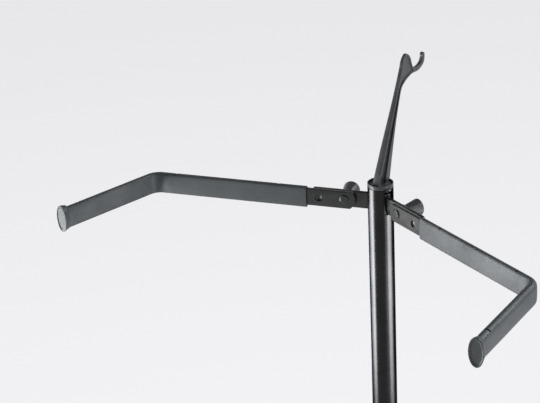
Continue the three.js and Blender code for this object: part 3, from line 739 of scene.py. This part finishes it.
def pivot_bolt():
    """A low cheese head with a rounded rim on a plain shank."""
    radius, height = BOLT_HEAD
    back = -BAR_THICKNESS / 2 - CLEARANCE
    end = KNOB_FRONT + KNOB_LENGTH - KNOB_FLOOR - CLEARANCE
    head = [(radius * out, back - height * rise, height * edge) for out, rise, edge in BOLT_HEAD_SHARES]
    return spindle([*head, (BOLT_RADIUS, back), (BOLT_RADIUS, end, END_EDGE), (0, end)])


def pivot_washer():
    front = LINK_BACK + CLEARANCE
    return ring(BOLT_RADIUS + CLEARANCE, WASHER_RADIUS, front, front + WASHER_THICKNESS,
                WASHER_THICKNESS / 4, ALONG_Y, SMALL_STEPS)


def pivot_knob():
    back = KNOB_FRONT + KNOB_LENGTH
    bore = BOLT_RADIUS + CLEARANCE
    return spindle([
        (bore, KNOB_FRONT), (KNOB_ROOT_RADIUS, KNOB_FRONT, NECK_EDGE),
        (KNOB_TIP_RADIUS, back - KNOB_RIM, KNOB_EDGE), (KNOB_TIP_RADIUS - KNOB_EDGE / 2, back, KNOB_EDGE / 2),
        (0, back), (0, back - KNOB_FLOOR), (bore, back - KNOB_FLOOR),
    ])


def make_arm(arm, side, height, size, seed):
    place = arm_frame(side, height)
    at_pivot = place @ pivot(side)
    finish_piece(arm_bar(*size, side), arm + "_bar", arm, "satin_black", place)
    finish_piece(arm_sleeve(*size, side, seed), arm + "_sleeve", arm, "rubber", place)
    finish_piece(pivot_bolt(), arm + "_bolt", arm, "satin_black", at_pivot)
    finish_piece(pivot_washer(), arm + "_washer", arm, "zinc", at_pivot)
    finish_piece(pivot_knob(), arm + "_knob", arm + "_knob", "moulded", at_pivot)


# Head
def slot_cutter(side):
    outline = rectangle((-SLOT_WIDTH / 2, SLOT_WIDTH / 2), SLOT_ENDS, SLOT_CORNER)
    front, back = (share * POLE_RADIUS for share in SLOT_CUT_SHARES)
    return plate(outline, front, back, on_axis(ARM_HEIGHT) @ turn(side * (math.pi / 2 - SLOT_TURN), "Z"))


def pole_tube():
    tube = ring(POLE_RADIUS - WALL, POLE_RADIUS, POLE_BOTTOM, POLE_TOP, WALL / 4, POLE)
    hole = pin(CORE_SCREW_RADIUS + CLEARANCE, 0, 2 * POLE_RADIUS, on_axis(ARM_HEIGHT))
    return cut(tube, slot_cutter(RIGHT), slot_cutter(LEFT), hole)


def link_core():
    core = rod(IN_POLE, *CORE_ENDS, edge=CORE_EDGE, steps=LATHE_STEPS)
    half = BAR_HEIGHT / 2 + CLEARANCE
    cutters = []
    for side in (RIGHT, LEFT):
        place = POLE.inverted() @ arm_frame(side, 0)
        cutters.append(block((LINK_START - CLEARANCE, 2 * POLE_RADIUS),
                             (LINK_FRONT - CLEARANCE, LINK_BACK + CLEARANCE), (-half, half), place))
        cutters.append(pin(LINK_PIN_RADIUS + CLEARANCE, LINK_PIN_ENDS[0] - CLEARANCE, POLE_RADIUS,
                           place @ shift(LINK_PIN_DISTANCE, 0, 0)))
    cutters.append(pin(CORE_SCREW_RADIUS + CLEARANCE, CORE_SCREW_TIP - CLEARANCE, 2 * POLE_RADIUS))
    return cut(core, *cutters)


def core_screw():
    radius, height = CORE_SCREW_HEAD
    screw = spindle([
        (0, CORE_SCREW_TIP), (CORE_SCREW_RADIUS, CORE_SCREW_TIP, TURNED_EDGE), (CORE_SCREW_RADIUS, ON_POLE),
        (radius, ON_POLE), (radius, ON_POLE + height, height * SCREW_DOME_SHARE), (0, ON_POLE + height),
    ])
    reach = radius * CROSS_REACH_SHARE
    deep = (ON_POLE + height * CROSS_FLOOR_SHARE, ON_POLE + 2 * height)
    return cut(screw, block((-reach, reach), deep, CROSS_SLOT), block(CROSS_SLOT, deep, (-reach, reach)))


def top_cap():
    mouth = POLE_RADIUS - CAP_WALL
    return lathe([
        (CAP_BORE, CAP_FOOT), (IN_POLE, CAP_FOOT, TURNED_EDGE), (IN_POLE, CAP_SEAT),
        (POLE_RADIUS, CAP_SEAT, SEAT_EDGE), (POLE_RADIUS, CAP_RIM, CAP_RIM_EDGE),
        (mouth, CAP_RIM, TURNED_EDGE), (mouth, CAP_FLOOR, MOULDED_EDGE), (CAP_BORE, CAP_FLOOR, SEAT_EDGE),
    ], POLE)


# Bow holder outlines as shares of its height: (to the back, up from the cap's rim)
FRONT_EDGE_SHARES = [(-0.072, 0), (0.179, 0.57), (0.255, 0.752), (0.292, 0.844), (0.313, 0.894)]
THUMB_SHARES = [(0.313, 0.894), (0.326, 0.941), (0.35, 0.981), (0.383, 1), (0.42, 0.982),
                (0.445, 0.949), (0.455, 0.912), (0.466, 0.879)]
NOTCH_SHARES = [(0.466, 0.879), (0.483, 0.858), (0.513, 0.845), (0.56, 0.851), (0.594, 0.872),
                (0.61, 0.899), (0.609, 0.924)]
BEAD_SHARES = [(0.609, 0.924), (0.612, 0.936), (0.628, 0.944), (0.644, 0.936), (0.648, 0.919)]
FINGER_SHARES = [(0.648, 0.919), (0.643, 0.879), (0.625, 0.847), (0.581, 0.819), (0.531, 0.807),
                 (0.477, 0.809), (0.44, 0.803), (0.383, 0.783), (0.339, 0.757), (0.312, 0.734),
                 (0.293, 0.702)]
BACK_EDGE_SHARES = [(0.293, 0.702), (0.256, 0.602), (0.218, 0.49), (0.18, 0.36), (0.142, 0.219),
                    (0.11, 0.071), (0.094, 0)]
POCKET_FRONT_SHARES = [(-0.053, 0), (0.198, 0.576), (0.274, 0.76), (0.313, 0.851), (0.329, 0.894),
                       (0.342, 0.934), (0.361, 0.966), (0.386, 0.981), (0.41, 0.968), (0.428, 0.94),
                       (0.439, 0.905), (0.451, 0.872), (0.464, 0.848), (0.478, 0.832)]
POCKET_BACK_SHARES = [(0.478, 0.832), (0.44, 0.822), (0.379, 0.8), (0.329, 0.771), (0.297, 0.742),
                      (0.277, 0.705), (0.238, 0.602), (0.197, 0.493), (0.15, 0.356), (0.098, 0.212),
                      (0.052, 0.071), (0.034, 0)]
# (share of the holder's height, share of its root's width)
HOLDER_WIDTH_SHARES = [(0, 1), (0.22, 1), (0.38, 0.86), (0.58, 0.69), (0.7, 0.58), (0.9, 0.5), (1, 0.42)]


def curve_through(shares):
    """A smooth line through points given as shares of the holder's height."""
    points = [Vector(share) * HOLDER_HEIGHT for share in shares]
    line = []
    for index in range(len(points) - 1):
        before = points[max(0, index - 1)]
        start, end = points[index], points[index + 1]
        after = points[min(len(points) - 1, index + 2)]
        for step in range(CURVE_STEPS):
            t = step / CURVE_STEPS
            line.append((2 * start + (end - before) * t + (2 * before - 5 * start + 4 * end - after) * t ** 2
                         + (3 * start - before - 3 * end + after) * t ** 3) / 2)
    line.append(points[-1])
    return line


def holder_width(z):
    share = min(1, max(0, z / HOLDER_HEIGHT))
    for (low, narrow), (high, wide) in zip(HOLDER_WIDTH_SHARES, HOLDER_WIDTH_SHARES[1:]):
        if share <= high:
            return HOLDER_ROOT_WIDTH * (narrow + (wide - narrow) * (share - low) / (high - low))
    return HOLDER_ROOT_WIDTH * HOLDER_WIDTH_SHARES[-1][1]


def bow_holder():
    """An I section that leans back and ends in an open hook, on a disc that turns in the cap."""
    seat = CAP_FLOOR + CLEARANCE
    outline = []
    for shares in (FRONT_EDGE_SHARES, THUMB_SHARES, NOTCH_SHARES, BEAD_SHARES, FINGER_SHARES,
                   BACK_EDGE_SHARES):
        outline.extend(curve_through(shares)[:-1])
    back_root = Vector(BACK_EDGE_SHARES[-1]) * HOLDER_HEIGHT
    to_seat = Vector((0, seat - CAP_RIM))
    outline.extend([back_root, back_root + to_seat, outline[0] + to_seat])
    # The blade is 1 mm wide at first, so that its width can be multiplied
    blade = prism(outline, -0.5, 0.5, SIDEWAYS)
    for vertex in blade.data.vertices:
        vertex.co.x *= holder_width(vertex.co.z)
    soften(blade, HOLDER_EDGE, HOLDER_SEGMENTS, HOLDER_ANGLE)
    pocket = curve_through(POCKET_FRONT_SHARES)[:-1] + curve_through(POCKET_BACK_SHARES)
    below = Vector((0, OVERRUN))
    pocket.extend([pocket[-1] - below, pocket[0] - below])
    pockets = []
    for side in (RIGHT, LEFT):
        ends = sorted((side * HOLDER_WEB / 2, side * HOLDER_ROOT_WIDTH))
        pockets.append(soften(prism(pocket, *ends, SIDEWAYS), PIN_EDGE, angle=HOLDER_ANGLE))
    cut(blade, *pockets)
    blade.data.transform(shift(0, 0, CAP_RIM))
    bore = CAP_BORE - CLEARANCE
    foot = lathe([
        (0, CAP_FOOT), (bore, CAP_FOOT, MOULDED_EDGE), (bore, seat), (DISC_RADIUS, seat),
        (DISC_RADIUS, seat + DISC_HEIGHT, TURNED_EDGE), (0, seat + DISC_HEIGHT),
    ])
    return join(blade, foot)


def pole_plug():
    under = POLE_BOTTOM - CLEARANCE
    return lathe([
        (0, under - PLUG_FLANGE), (IN_TUBE, under - PLUG_FLANGE, END_EDGE), (IN_TUBE, under, TURNED_EDGE),
        (IN_POLE, under), (IN_POLE, under + PLUG_SPIGOT, END_EDGE), (0, under + PLUG_SPIGOT),
    ], POLE)


def make_head():
    finish_piece(pole_tube(), "pole_tube", "pole", "gloss_black")
    finish_piece(top_cap(), "top_cap", "pole", "moulded")
    finish_piece(bow_holder(), "bow_holder", "bow_holder", "moulded", POLE)
    finish_piece(pole_plug(), "pole_plug", "pole", "moulded")
    finish_piece(link_core(), "link_core", "pole", "satin_black", on_axis(ARM_HEIGHT))
    finish_piece(core_screw(), "core_screw", "pole", "zinc", on_axis(ARM_HEIGHT))
    at_pin = shift(LINK_PIN_DISTANCE, 0, 0)
    for name, side in SIDES:
        place = arm_frame(side, ARM_HEIGHT)
        link = link_bar(side, through_link(LINK_PIN_RADIUS, at_pin))
        finish_piece(link, name + "_link", "pole", "satin_black", place)
        link_pin = pin(LINK_PIN_RADIUS, *LINK_PIN_ENDS, at_pin, PIN_EDGE)
        finish_piece(link_pin, name + "_link_pin", "pole", "zinc", place)
        make_arm(name + "_arm", side, ARM_HEIGHT, UPPER_ARM, side * UPPER_SEED)


# Clamps and lobed knobs
def boss():
    """A clamp screw's boss on a ring, its axis along +Y."""
    start = ON_TUBE + WALL
    return spindle([(0, start), (BOSS_RADIUS, start), (BOSS_RADIUS, BOSS_END, END_EDGE), (0, BOSS_END)])


def screw_hole(radius, place=Matrix()):
    return pin(radius + CLEARANCE, 0, 2 * BOSS_END, place)


def star_knob(tip):
    """A lobed knob behind a boss, with a screw whose tip is that far from the pole's axis."""
    outline = []
    for step in range(STAR_STEPS):
        angle = 2 * math.pi * step / STAR_STEPS
        radius = STAR_RADIUS * (1 - STAR_LOBE_SHARE + STAR_LOBE_SHARE * math.cos(STAR_LOBES * angle))
        outline.append((radius * math.sin(angle), radius * math.cos(angle)))
    root = BOSS_END + CLEARANCE
    front = root + STAR_HUB_LENGTH
    back = front + STAR_THICKNESS
    head = soften(plate(outline, front, back), STAR_EDGE, STAR_SEGMENTS)
    hub = spindle([
        (0, tip), (SCREW_RADIUS, tip, MOULDED_EDGE), (SCREW_RADIUS, root),
        (STAR_HUB_RADIUS, root, MOULDED_EDGE), (STAR_HUB_RADIUS, front + STAR_EDGE), (0, front + STAR_EDGE),
    ])
    floor, mouth = back - STAR_DISH_DEPTH, back + STAR_DISH_DEPTH
    inner, outer = (STAR_RADIUS * share for share in STAR_DISH_SHARES)
    dish = spindle([(0, floor), (inner, floor, STAR_DISH_EDGE), (outer, mouth), (0, mouth)])
    return cut(join(head, hub), dish)


def base_tube():
    tube = ring(TUBE_RADIUS - WALL, TUBE_RADIUS, TUBE_BOTTOM, TUBE_TOP, WALL / 4, POLE)
    return cut(tube, screw_hole(PAD_RADIUS, on_axis(CLAMP_HEIGHT)))


def guide_bush():
    low = TUBE_TOP - BUSH_LENGTH
    seat = TUBE_TOP + CLEARANCE
    top = seat + BUSH_FLANGE
    bush = lathe([
        (ON_POLE, low, PIN_EDGE), (IN_TUBE, low, PIN_EDGE), (IN_TUBE, seat), (TUBE_RADIUS, seat, PIN_EDGE),
        (TUBE_RADIUS, top, NECK_EDGE), (ON_POLE, top, TURNED_EDGE),
    ], POLE)
    return cut(bush, screw_hole(PAD_RADIUS, on_axis(CLAMP_HEIGHT)))


def height_clamp():
    low, high = CLAMP_ENDS
    shelf = TUBE_TOP - CLAMP_HEIGHT + CLEARANCE + BUSH_FLANGE + CLEARANCE
    clamp = lathe([
        (ON_TUBE, low, MOULDED_EDGE), (CLAMP_RADIUS, low, CLAMP_FOOT_EDGE),
        (CLAMP_RADIUS, high, CLAMP_TOP_EDGE), (ON_POLE, high, NECK_EDGE), (ON_POLE, shelf), (ON_TUBE, shelf),
    ])
    return cut(join(clamp, boss()), screw_hole(SCREW_RADIUS))


def make_height_clamp():
    place = on_axis(CLAMP_HEIGHT)
    pad_end = ON_POLE + PAD_LENGTH
    finish_piece(height_clamp(), "height_clamp", "base", "moulded", place)
    finish_piece(pin(PAD_RADIUS, ON_POLE, pad_end, edge=PIN_EDGE), "clamp_pad", "base", "moulded", place)
    finish_piece(star_knob(pad_end + CLEARANCE), "height_knob", "height_knob", "moulded", place)
    finish_piece(base_tube(), "base_tube", "base", "gloss_black")
    finish_piece(guide_bush(), "guide_bush", "base", "moulded")


def lower_bracket():
    half = BRACKET_HEIGHT / 2
    body = ring(ON_TUBE, BRACKET_RADIUS, -half, half, CORE_EDGE)
    links = []
    for side in (RIGHT, LEFT):
        link = link_bar(side)
        link.data.transform(POLE.inverted() @ arm_frame(side, 0))
        links.append(link)
    bore = rod(ON_TUBE, -BRACKET_HEIGHT, BRACKET_HEIGHT, steps=LATHE_STEPS)
    return cut(join(body, boss(), *links), bore, screw_hole(SCREW_RADIUS))


def make_lower_support():
    place = on_axis(LOWER_HEIGHT)
    finish_piece(lower_bracket(), "lower_bracket", "lower_bracket", "satin_black", place)
    finish_piece(star_knob(ON_TUBE), "bracket_knob", "bracket_knob", "moulded", place)
    for name, side in SIDES:
        make_arm(name + "_lower", side, LOWER_HEIGHT, LOWER_ARM, side * LOWER_SEED)


# Folding base
def lug(low, high, azimuth):
    """An ear on a ring for a hinge pin, from low to high along the pin."""
    start = (ON_TUBE + COLLAR_RADIUS) / 2
    half = LUG_HEIGHT / 2
    end = HINGE_DISTANCE + half
    rounding = half * NEARLY
    corners = [(start, half), (start, -half), (end, -half, rounding), (end, half, rounding)]
    outline = rounded(corners, END_STEPS)
    ear = soften(plate(outline, low, high), NECK_EDGE)
    cut(ear, pin(HINGE_PIN_RADIUS + CLEARANCE, low - OVERRUN, high + OVERRUN, shift(HINGE_DISTANCE, 0, 0)))
    ear.data.transform(turn(azimuth, "Z"))
    return ear


def base_hub():
    half = RING_HEIGHT / 2
    hub = lathe([
        (0, -half), (COLLAR_RADIUS, -half, HUB_FOOT_EDGE), (COLLAR_RADIUS, half, HUB_EDGE),
        (ON_TUBE, half, MOULDED_EDGE), (ON_TUBE, HUB_FLOOR - half), (0, HUB_FLOOR - half),
    ])
    return join(hub, *[lug(-LEG_RADIUS, LEG_RADIUS, azimuth) for azimuth in LEG_AZIMUTHS])


def leg_collar():
    half = RING_HEIGHT / 2
    outside = LUG_HALF + CHEEK_THICKNESS
    collar = ring(ON_TUBE, COLLAR_RADIUS, -half, half, HUB_EDGE)
    ears = []
    for azimuth in LEG_AZIMUTHS:
        ears.append(lug(LUG_HALF, outside, azimuth))
        ears.append(lug(-outside, -LUG_HALF, azimuth))
    front_boss = boss()
    front_boss.data.transform(HALF_TURN)
    return cut(join(collar, *ears, front_boss), screw_hole(SCREW_RADIUS, HALF_TURN))


def leg_tube():
    """X along the leg from its pin, Y along the pin."""
    tube = ring(LEG_RADIUS - WALL, LEG_RADIUS, -LEG_RADIUS - OVERRUN, LEG_LENGTH - FOOT_FLOOR - CLEARANCE,
                WALL / 4, ALONG_X, SMALL_STEPS)
    through = (-2 * LEG_RADIUS, 2 * LEG_RADIUS)
    wide = (-LEG_RADIUS - OVERRUN, LEG_RADIUS + OVERRUN)
    away = cut(block((-LEG_RADIUS - 2 * OVERRUN, 0), wide, wide), pin(LEG_RADIUS, *through))
    holes = [pin(HINGE_PIN_RADIUS + CLEARANCE, *through, shift(along, 0, 0)) for along in (0, BRACE_LENGTH)]
    return cut(tube, away, *holes)


def hinge_pin(half_length):
    """A rivet with two domed heads."""
    radius, height = PIN_HEAD
    head = half_length + CLEARANCE
    crown = head + height
    dome = height * RIVET_DOME_SHARE
    return spindle([
        (0, -crown), (radius, -crown, dome), (radius, -head), (HINGE_PIN_RADIUS, -head),
        (HINGE_PIN_RADIUS, head), (radius, head), (radius, crown, dome), (0, crown),
    ])


def foot(place):
    """A grooved cup over the leg's end, cut off level with the floor."""
    grip = LEG_LENGTH - FOOT_LENGTH
    floor = LEG_LENGTH - FOOT_FLOOR
    bore = LEG_RADIUS + CLEARANCE
    grooves = []
    for number in range(FOOT_GROOVES):
        start = grip + GROOVE_SPACING * (number + 1)
        grooves.extend((FOOT_RADIUS - depth, start + along, PIN_EDGE) for depth, along in GROOVE)
    cup = lathe([
        (0, floor), (bore, floor), (bore, grip, MOULDED_EDGE), (FOOT_RADIUS, grip, END_EDGE), *grooves,
        (FOOT_RADIUS, LEG_LENGTH, FOOT_ROUND), (0, LEG_LENGTH),
    ], place @ ALONG_X, SMALL_STEPS)
    far = 2 * LEG_LENGTH
    return cut(cup, block((-far, far), (-far, far), (-far, 0)))


def brace():
    """X along the brace from the hub's pin, Y along the pin, Z towards the pole."""
    half = BRACE_HALF_HEIGHT
    outside = LUG_HALF + BRACE_SHEET
    outline = rectangle((-half, BRACE_LENGTH + half), (-half, half), half * NEARLY, END_STEPS)
    cheeks = [soften(plate(outline, *ends), MOULDED_EDGE)
              for ends in ((LUG_HALF, outside), (-outside, -LUG_HALF))]
    web = block(BRACE_WEB_ENDS, (BRACE_WEB_INSET - outside, outside - BRACE_WEB_INSET),
                (half - BRACE_SHEET, half - BRACE_WEB_SKIN))
    radius, rise = BRACE_DOME
    root, crown = outside - DOME_ROOT, outside + rise
    dome = [(0, root), (radius, root), (radius, crown, rise * RIVET_DOME_SHARE), (0, crown)]
    heads = [spindle(dome, shift(BRACE_LENGTH, 0, 0) @ turn(angle, "X")) for angle in (0, math.pi)]
    body = join(*cheeks, web, *heads)
    return cut(body, pin(HINGE_PIN_RADIUS + CLEARANCE, -2 * outside, 2 * outside))


def make_leg(azimuth, tag):
    sector = POLE @ turn(azimuth, "Z")
    leg = sector @ shift(HINGE_DISTANCE, 0, COLLAR_HEIGHT) @ turn(math.pi / 2 - LEG_ANGLE, "Y")
    strut = sector @ shift(HINGE_DISTANCE, 0, HUB_HEIGHT) @ turn(LEG_ANGLE - math.pi / 2, "Y")
    finish_piece(leg_tube(), "leg" + tag, "leg" + tag, "gloss_black", leg)
    finish_piece(foot(leg), "foot" + tag, "leg" + tag, "rubber")
    half = LUG_HALF - CLEARANCE
    brace_pin = pin(HINGE_PIN_RADIUS, -half, half, shift(BRACE_LENGTH, 0, 0), PIN_EDGE)
    finish_piece(brace_pin, "brace_pin" + tag, "leg" + tag, "zinc", leg)
    finish_piece(hinge_pin(LUG_HALF + CHEEK_THICKNESS), "leg_pin" + tag, "leg_collar", "zinc", leg)
    finish_piece(brace(), "brace" + tag, "brace" + tag, "satin_black", strut)
    finish_piece(hinge_pin(LUG_HALF + BRACE_SHEET), "hub_pin" + tag, "base", "zinc", strut)


def make_base():
    finish_piece(base_hub(), "base_hub", "base", "moulded", on_axis(HUB_HEIGHT))
    place = on_axis(COLLAR_HEIGHT)
    finish_piece(leg_collar(), "leg_collar", "leg_collar", "moulded", place)
    finish_piece(star_knob(ON_TUBE), "collar_knob", "collar_knob", "moulded", place @ HALF_TURN)
    for number, azimuth in enumerate(LEG_AZIMUTHS, 1):
        make_leg(azimuth, f"_{number}")


# Camera, in metres and pixels of the picture
CAMERA_FROM_HEAD = Vector((1.016034, -1.412767, 0.779617))
CAMERA_YAW = math.radians(39.8832)
CAMERA_PITCH = math.radians(24.0214)
CAMERA_ROLL = math.radians(2.8967)
PICTURE_WIDTH_PX = 540
FOCAL_LENGTH_PX = 1659.49
PRINCIPAL_OFFSET_PX = 0.5
SENSOR_WIDTH = 36
HEAD = Vector((POLE_X, POLE_Y, ARM_HEIGHT)) * MM


def make_camera():
    camera = bpy.data.objects.new("camera", bpy.data.cameras.new("camera"))
    bpy.context.scene.collection.objects.link(camera)
    yaw = turn(CAMERA_YAW, "Z")
    pitch = turn(math.pi / 2 - CAMERA_PITCH, "X")
    camera.matrix_world = Matrix.Translation(HEAD + CAMERA_FROM_HEAD) @ yaw @ pitch @ turn(-CAMERA_ROLL, "Z")
    camera.data.sensor_width = SENSOR_WIDTH
    camera.data.lens = FOCAL_LENGTH_PX / PICTURE_WIDTH_PX * SENSOR_WIDTH
    camera.data.shift_x = -PRINCIPAL_OFFSET_PX / PICTURE_WIDTH_PX
    camera.data.shift_y = PRINCIPAL_OFFSET_PX / PICTURE_WIDTH_PX
    bpy.context.scene.camera = camera


# Floor and world, in metres
PALE = (0.896, 0.896, 0.915)
FLOOR_SIZE = 60
FLOOR_GLOW_SHARE = 0.85
FLOOR_COLOUR = (0.8, 0.8, 0.81)
FLOOR_ROUGHNESS = 0.9
WORLD_LIGHT = 0.12
# The backdrop is pale up to a low height and the studio is dim above it: (height of the ray, colour)
WORLD_STOPS = [(0.1, PALE), (0.35, (0.12, 0.12, 0.125))]


def seen_rays(tree):
    """1 for the rays that show the background: camera, glossy and transmission rays."""
    path = tree.nodes.new("ShaderNodeLightPath")
    total = path.outputs["Is Camera Ray"]
    for name in ("Is Glossy Ray", "Is Transmission Ray"):
        add = tree.nodes.new("ShaderNodeMath")
        add.operation = "MAXIMUM"
        tree.links.new(total, add.inputs[0])
        tree.links.new(path.outputs[name], add.inputs[1])
        total = add.outputs[0]
    return total


def mix_shaders(tree, share, first, second, output):
    """Sends the first shader to the output, with that share of the second in its place."""
    mix = tree.nodes.new("ShaderNodeMixShader")
    tree.links.new(share, mix.inputs["Fac"])
    tree.links.new(first, mix.inputs[1])
    tree.links.new(second, mix.inputs[2])
    tree.links.new(mix.outputs["Shader"], tree.nodes[output].inputs["Surface"])


def make_floor():
    mesh = bpy.data.meshes.new("floor")
    ends = (-FLOOR_SIZE, FLOOR_SIZE)
    mesh.from_pydata([(x, y, 0) for x, y in rectangle(ends, ends)], [], [[0, 1, 2, 3]])
    floor = bpy.data.objects.new("floor", mesh)
    bpy.context.scene.collection.objects.link(floor)
    material, tree, shader = new_material("floor")
    shader.inputs["Base Color"].default_value = (*FLOOR_COLOUR, 1)
    shader.inputs["Roughness"].default_value = FLOOR_ROUGHNESS
    shader.inputs["Specular IOR Level"].default_value = 0
    glow = tree.nodes.new("ShaderNodeEmission")
    glow.inputs["Color"].default_value = (*PALE, 1)
    share = tree.nodes.new("ShaderNodeMath")
    share.operation = "MULTIPLY"
    share.inputs[1].default_value = FLOOR_GLOW_SHARE
    tree.links.new(seen_rays(tree), share.inputs[0])
    mix_shaders(tree, share.outputs[0], shader.outputs["BSDF"], glow.outputs["Emission"], "Material Output")
    mesh.materials.append(material)
    FLOOR_ONLY.objects.link(floor)


def make_world():
    world = bpy.data.worlds.new("studio")
    bpy.context.scene.world = world
    world.use_nodes = True
    tree = world.node_tree
    light = tree.nodes["Background"]
    light.inputs["Color"].default_value = (1, 1, 1, 1)
    light.inputs["Strength"].default_value = WORLD_LIGHT
    pale = tree.nodes.new("ShaderNodeBackground")
    where = tree.nodes.new("ShaderNodeTexCoord")
    split = tree.nodes.new("ShaderNodeSeparateXYZ")
    tree.links.new(where.outputs["Generated"], split.inputs["Vector"])
    tree.links.new(ramp(tree, split.outputs["Z"], WORLD_STOPS), pale.inputs["Color"])
    mix_shaders(tree, seen_rays(tree), light.outputs["Background"], pale.outputs["Background"],
                "World Output")


# Lamps. Panels stand round the stand, and strips that only the gloss tubes show: (name, bearing left of -Y in
# degrees, degrees across, lowest and highest point in metres, brightness)
PANELS = [
    ("left_panel", 44, 28, (0.1, 0.7), 13.2),
    ("left_back_panel", 136, 24, (0.15, 0.6), 3.4),
    ("left_head_panel", 62, 34, (0.7, 1.1), 6.5),
    ("right_front_panel", -80, 24, (0.15, 0.6), 4),
    ("right_panel", -104, 24, (0.15, 0.7), 6),
    ("right_head_panel", -80, 10, (0.95, 1.35), 8),
]
STRIPS = [
    ("left_strip", 61, 54, (0.2, 0.9), 25.5),
    ("right_strip", -112, 38, (0.05, 0.85), 20),
]
PANEL_DISTANCE = 1.1
# Square lamps that face the head: (name, bearing left of -Y and lift in degrees, brightness)
SOFT_BOXES = [
    ("left_soft_box", 82, 28, 8.4),
    ("right_soft_box", -80, 40, 2.7),
    ("right_back_soft_box", -140, 35, 8.2),
]
SOFT_BOX_DISTANCE = 1.5
SOFT_BOX_SIZE = 0.7
FLOOR_LAMP_HEIGHT = 3.2
FLOOR_LAMP_SIZE = 3
FLOOR_LAMP_BRIGHTNESS = 5.2


def area_lamp(name, place, facing, width, tall, brightness, receivers):
    """An unseen lamp whose face looks against facing and has that brightness, where 1 is white."""
    light = bpy.data.lights.new(name, "AREA")
    light.shape = "RECTANGLE"
    light.size = width
    light.size_y = tall
    light.energy = brightness * math.pi * width * tall
    lamp = bpy.data.objects.new(name, light)
    bpy.context.scene.collection.objects.link(lamp)
    lamp.location = place
    lamp.rotation_euler = facing.to_track_quat("Z", "Y").to_euler()
    lamp.visible_camera = False
    lamp.light_linking.receiver_collection = receivers


def outward(bearing, lift=0):
    """The level or lifted direction at a bearing left of -Y, both in degrees."""
    return turn(-math.radians(bearing), "Z") @ turn(-math.radians(lift), "X") @ Vector((0, -1, 0))


def make_lamps():
    for rows, receivers in ((PANELS, LIT), (STRIPS, GLOSS)):
        for name, bearing, across, (low, high), brightness in rows:
            facing = outward(bearing)
            place = Vector((HEAD.x, HEAD.y, (low + high) / 2)) + facing * PANEL_DISTANCE
            width = 2 * PANEL_DISTANCE * math.tan(math.radians(across) / 2)
            area_lamp(name, place, facing, width, high - low, brightness, receivers)
    for name, bearing, lift, brightness in SOFT_BOXES:
        facing = outward(bearing, lift)
        place = HEAD + facing * SOFT_BOX_DISTANCE
        area_lamp(name, place, facing, SOFT_BOX_SIZE, SOFT_BOX_SIZE, brightness, LIT)
    area_lamp("floor_lamp", Vector((HEAD.x, HEAD.y, FLOOR_LAMP_HEIGHT)), Vector((0, 0, 1)),
              FLOOR_LAMP_SIZE, FLOOR_LAMP_SIZE, FLOOR_LAMP_BRIGHTNESS, FLOOR_ONLY)


make_camera()
make_world()
make_floor()
make_lamps()
make_head()
make_height_clamp()
make_lower_support()
make_base()

bpy.context.scene.view_settings.view_transform = "Standard"
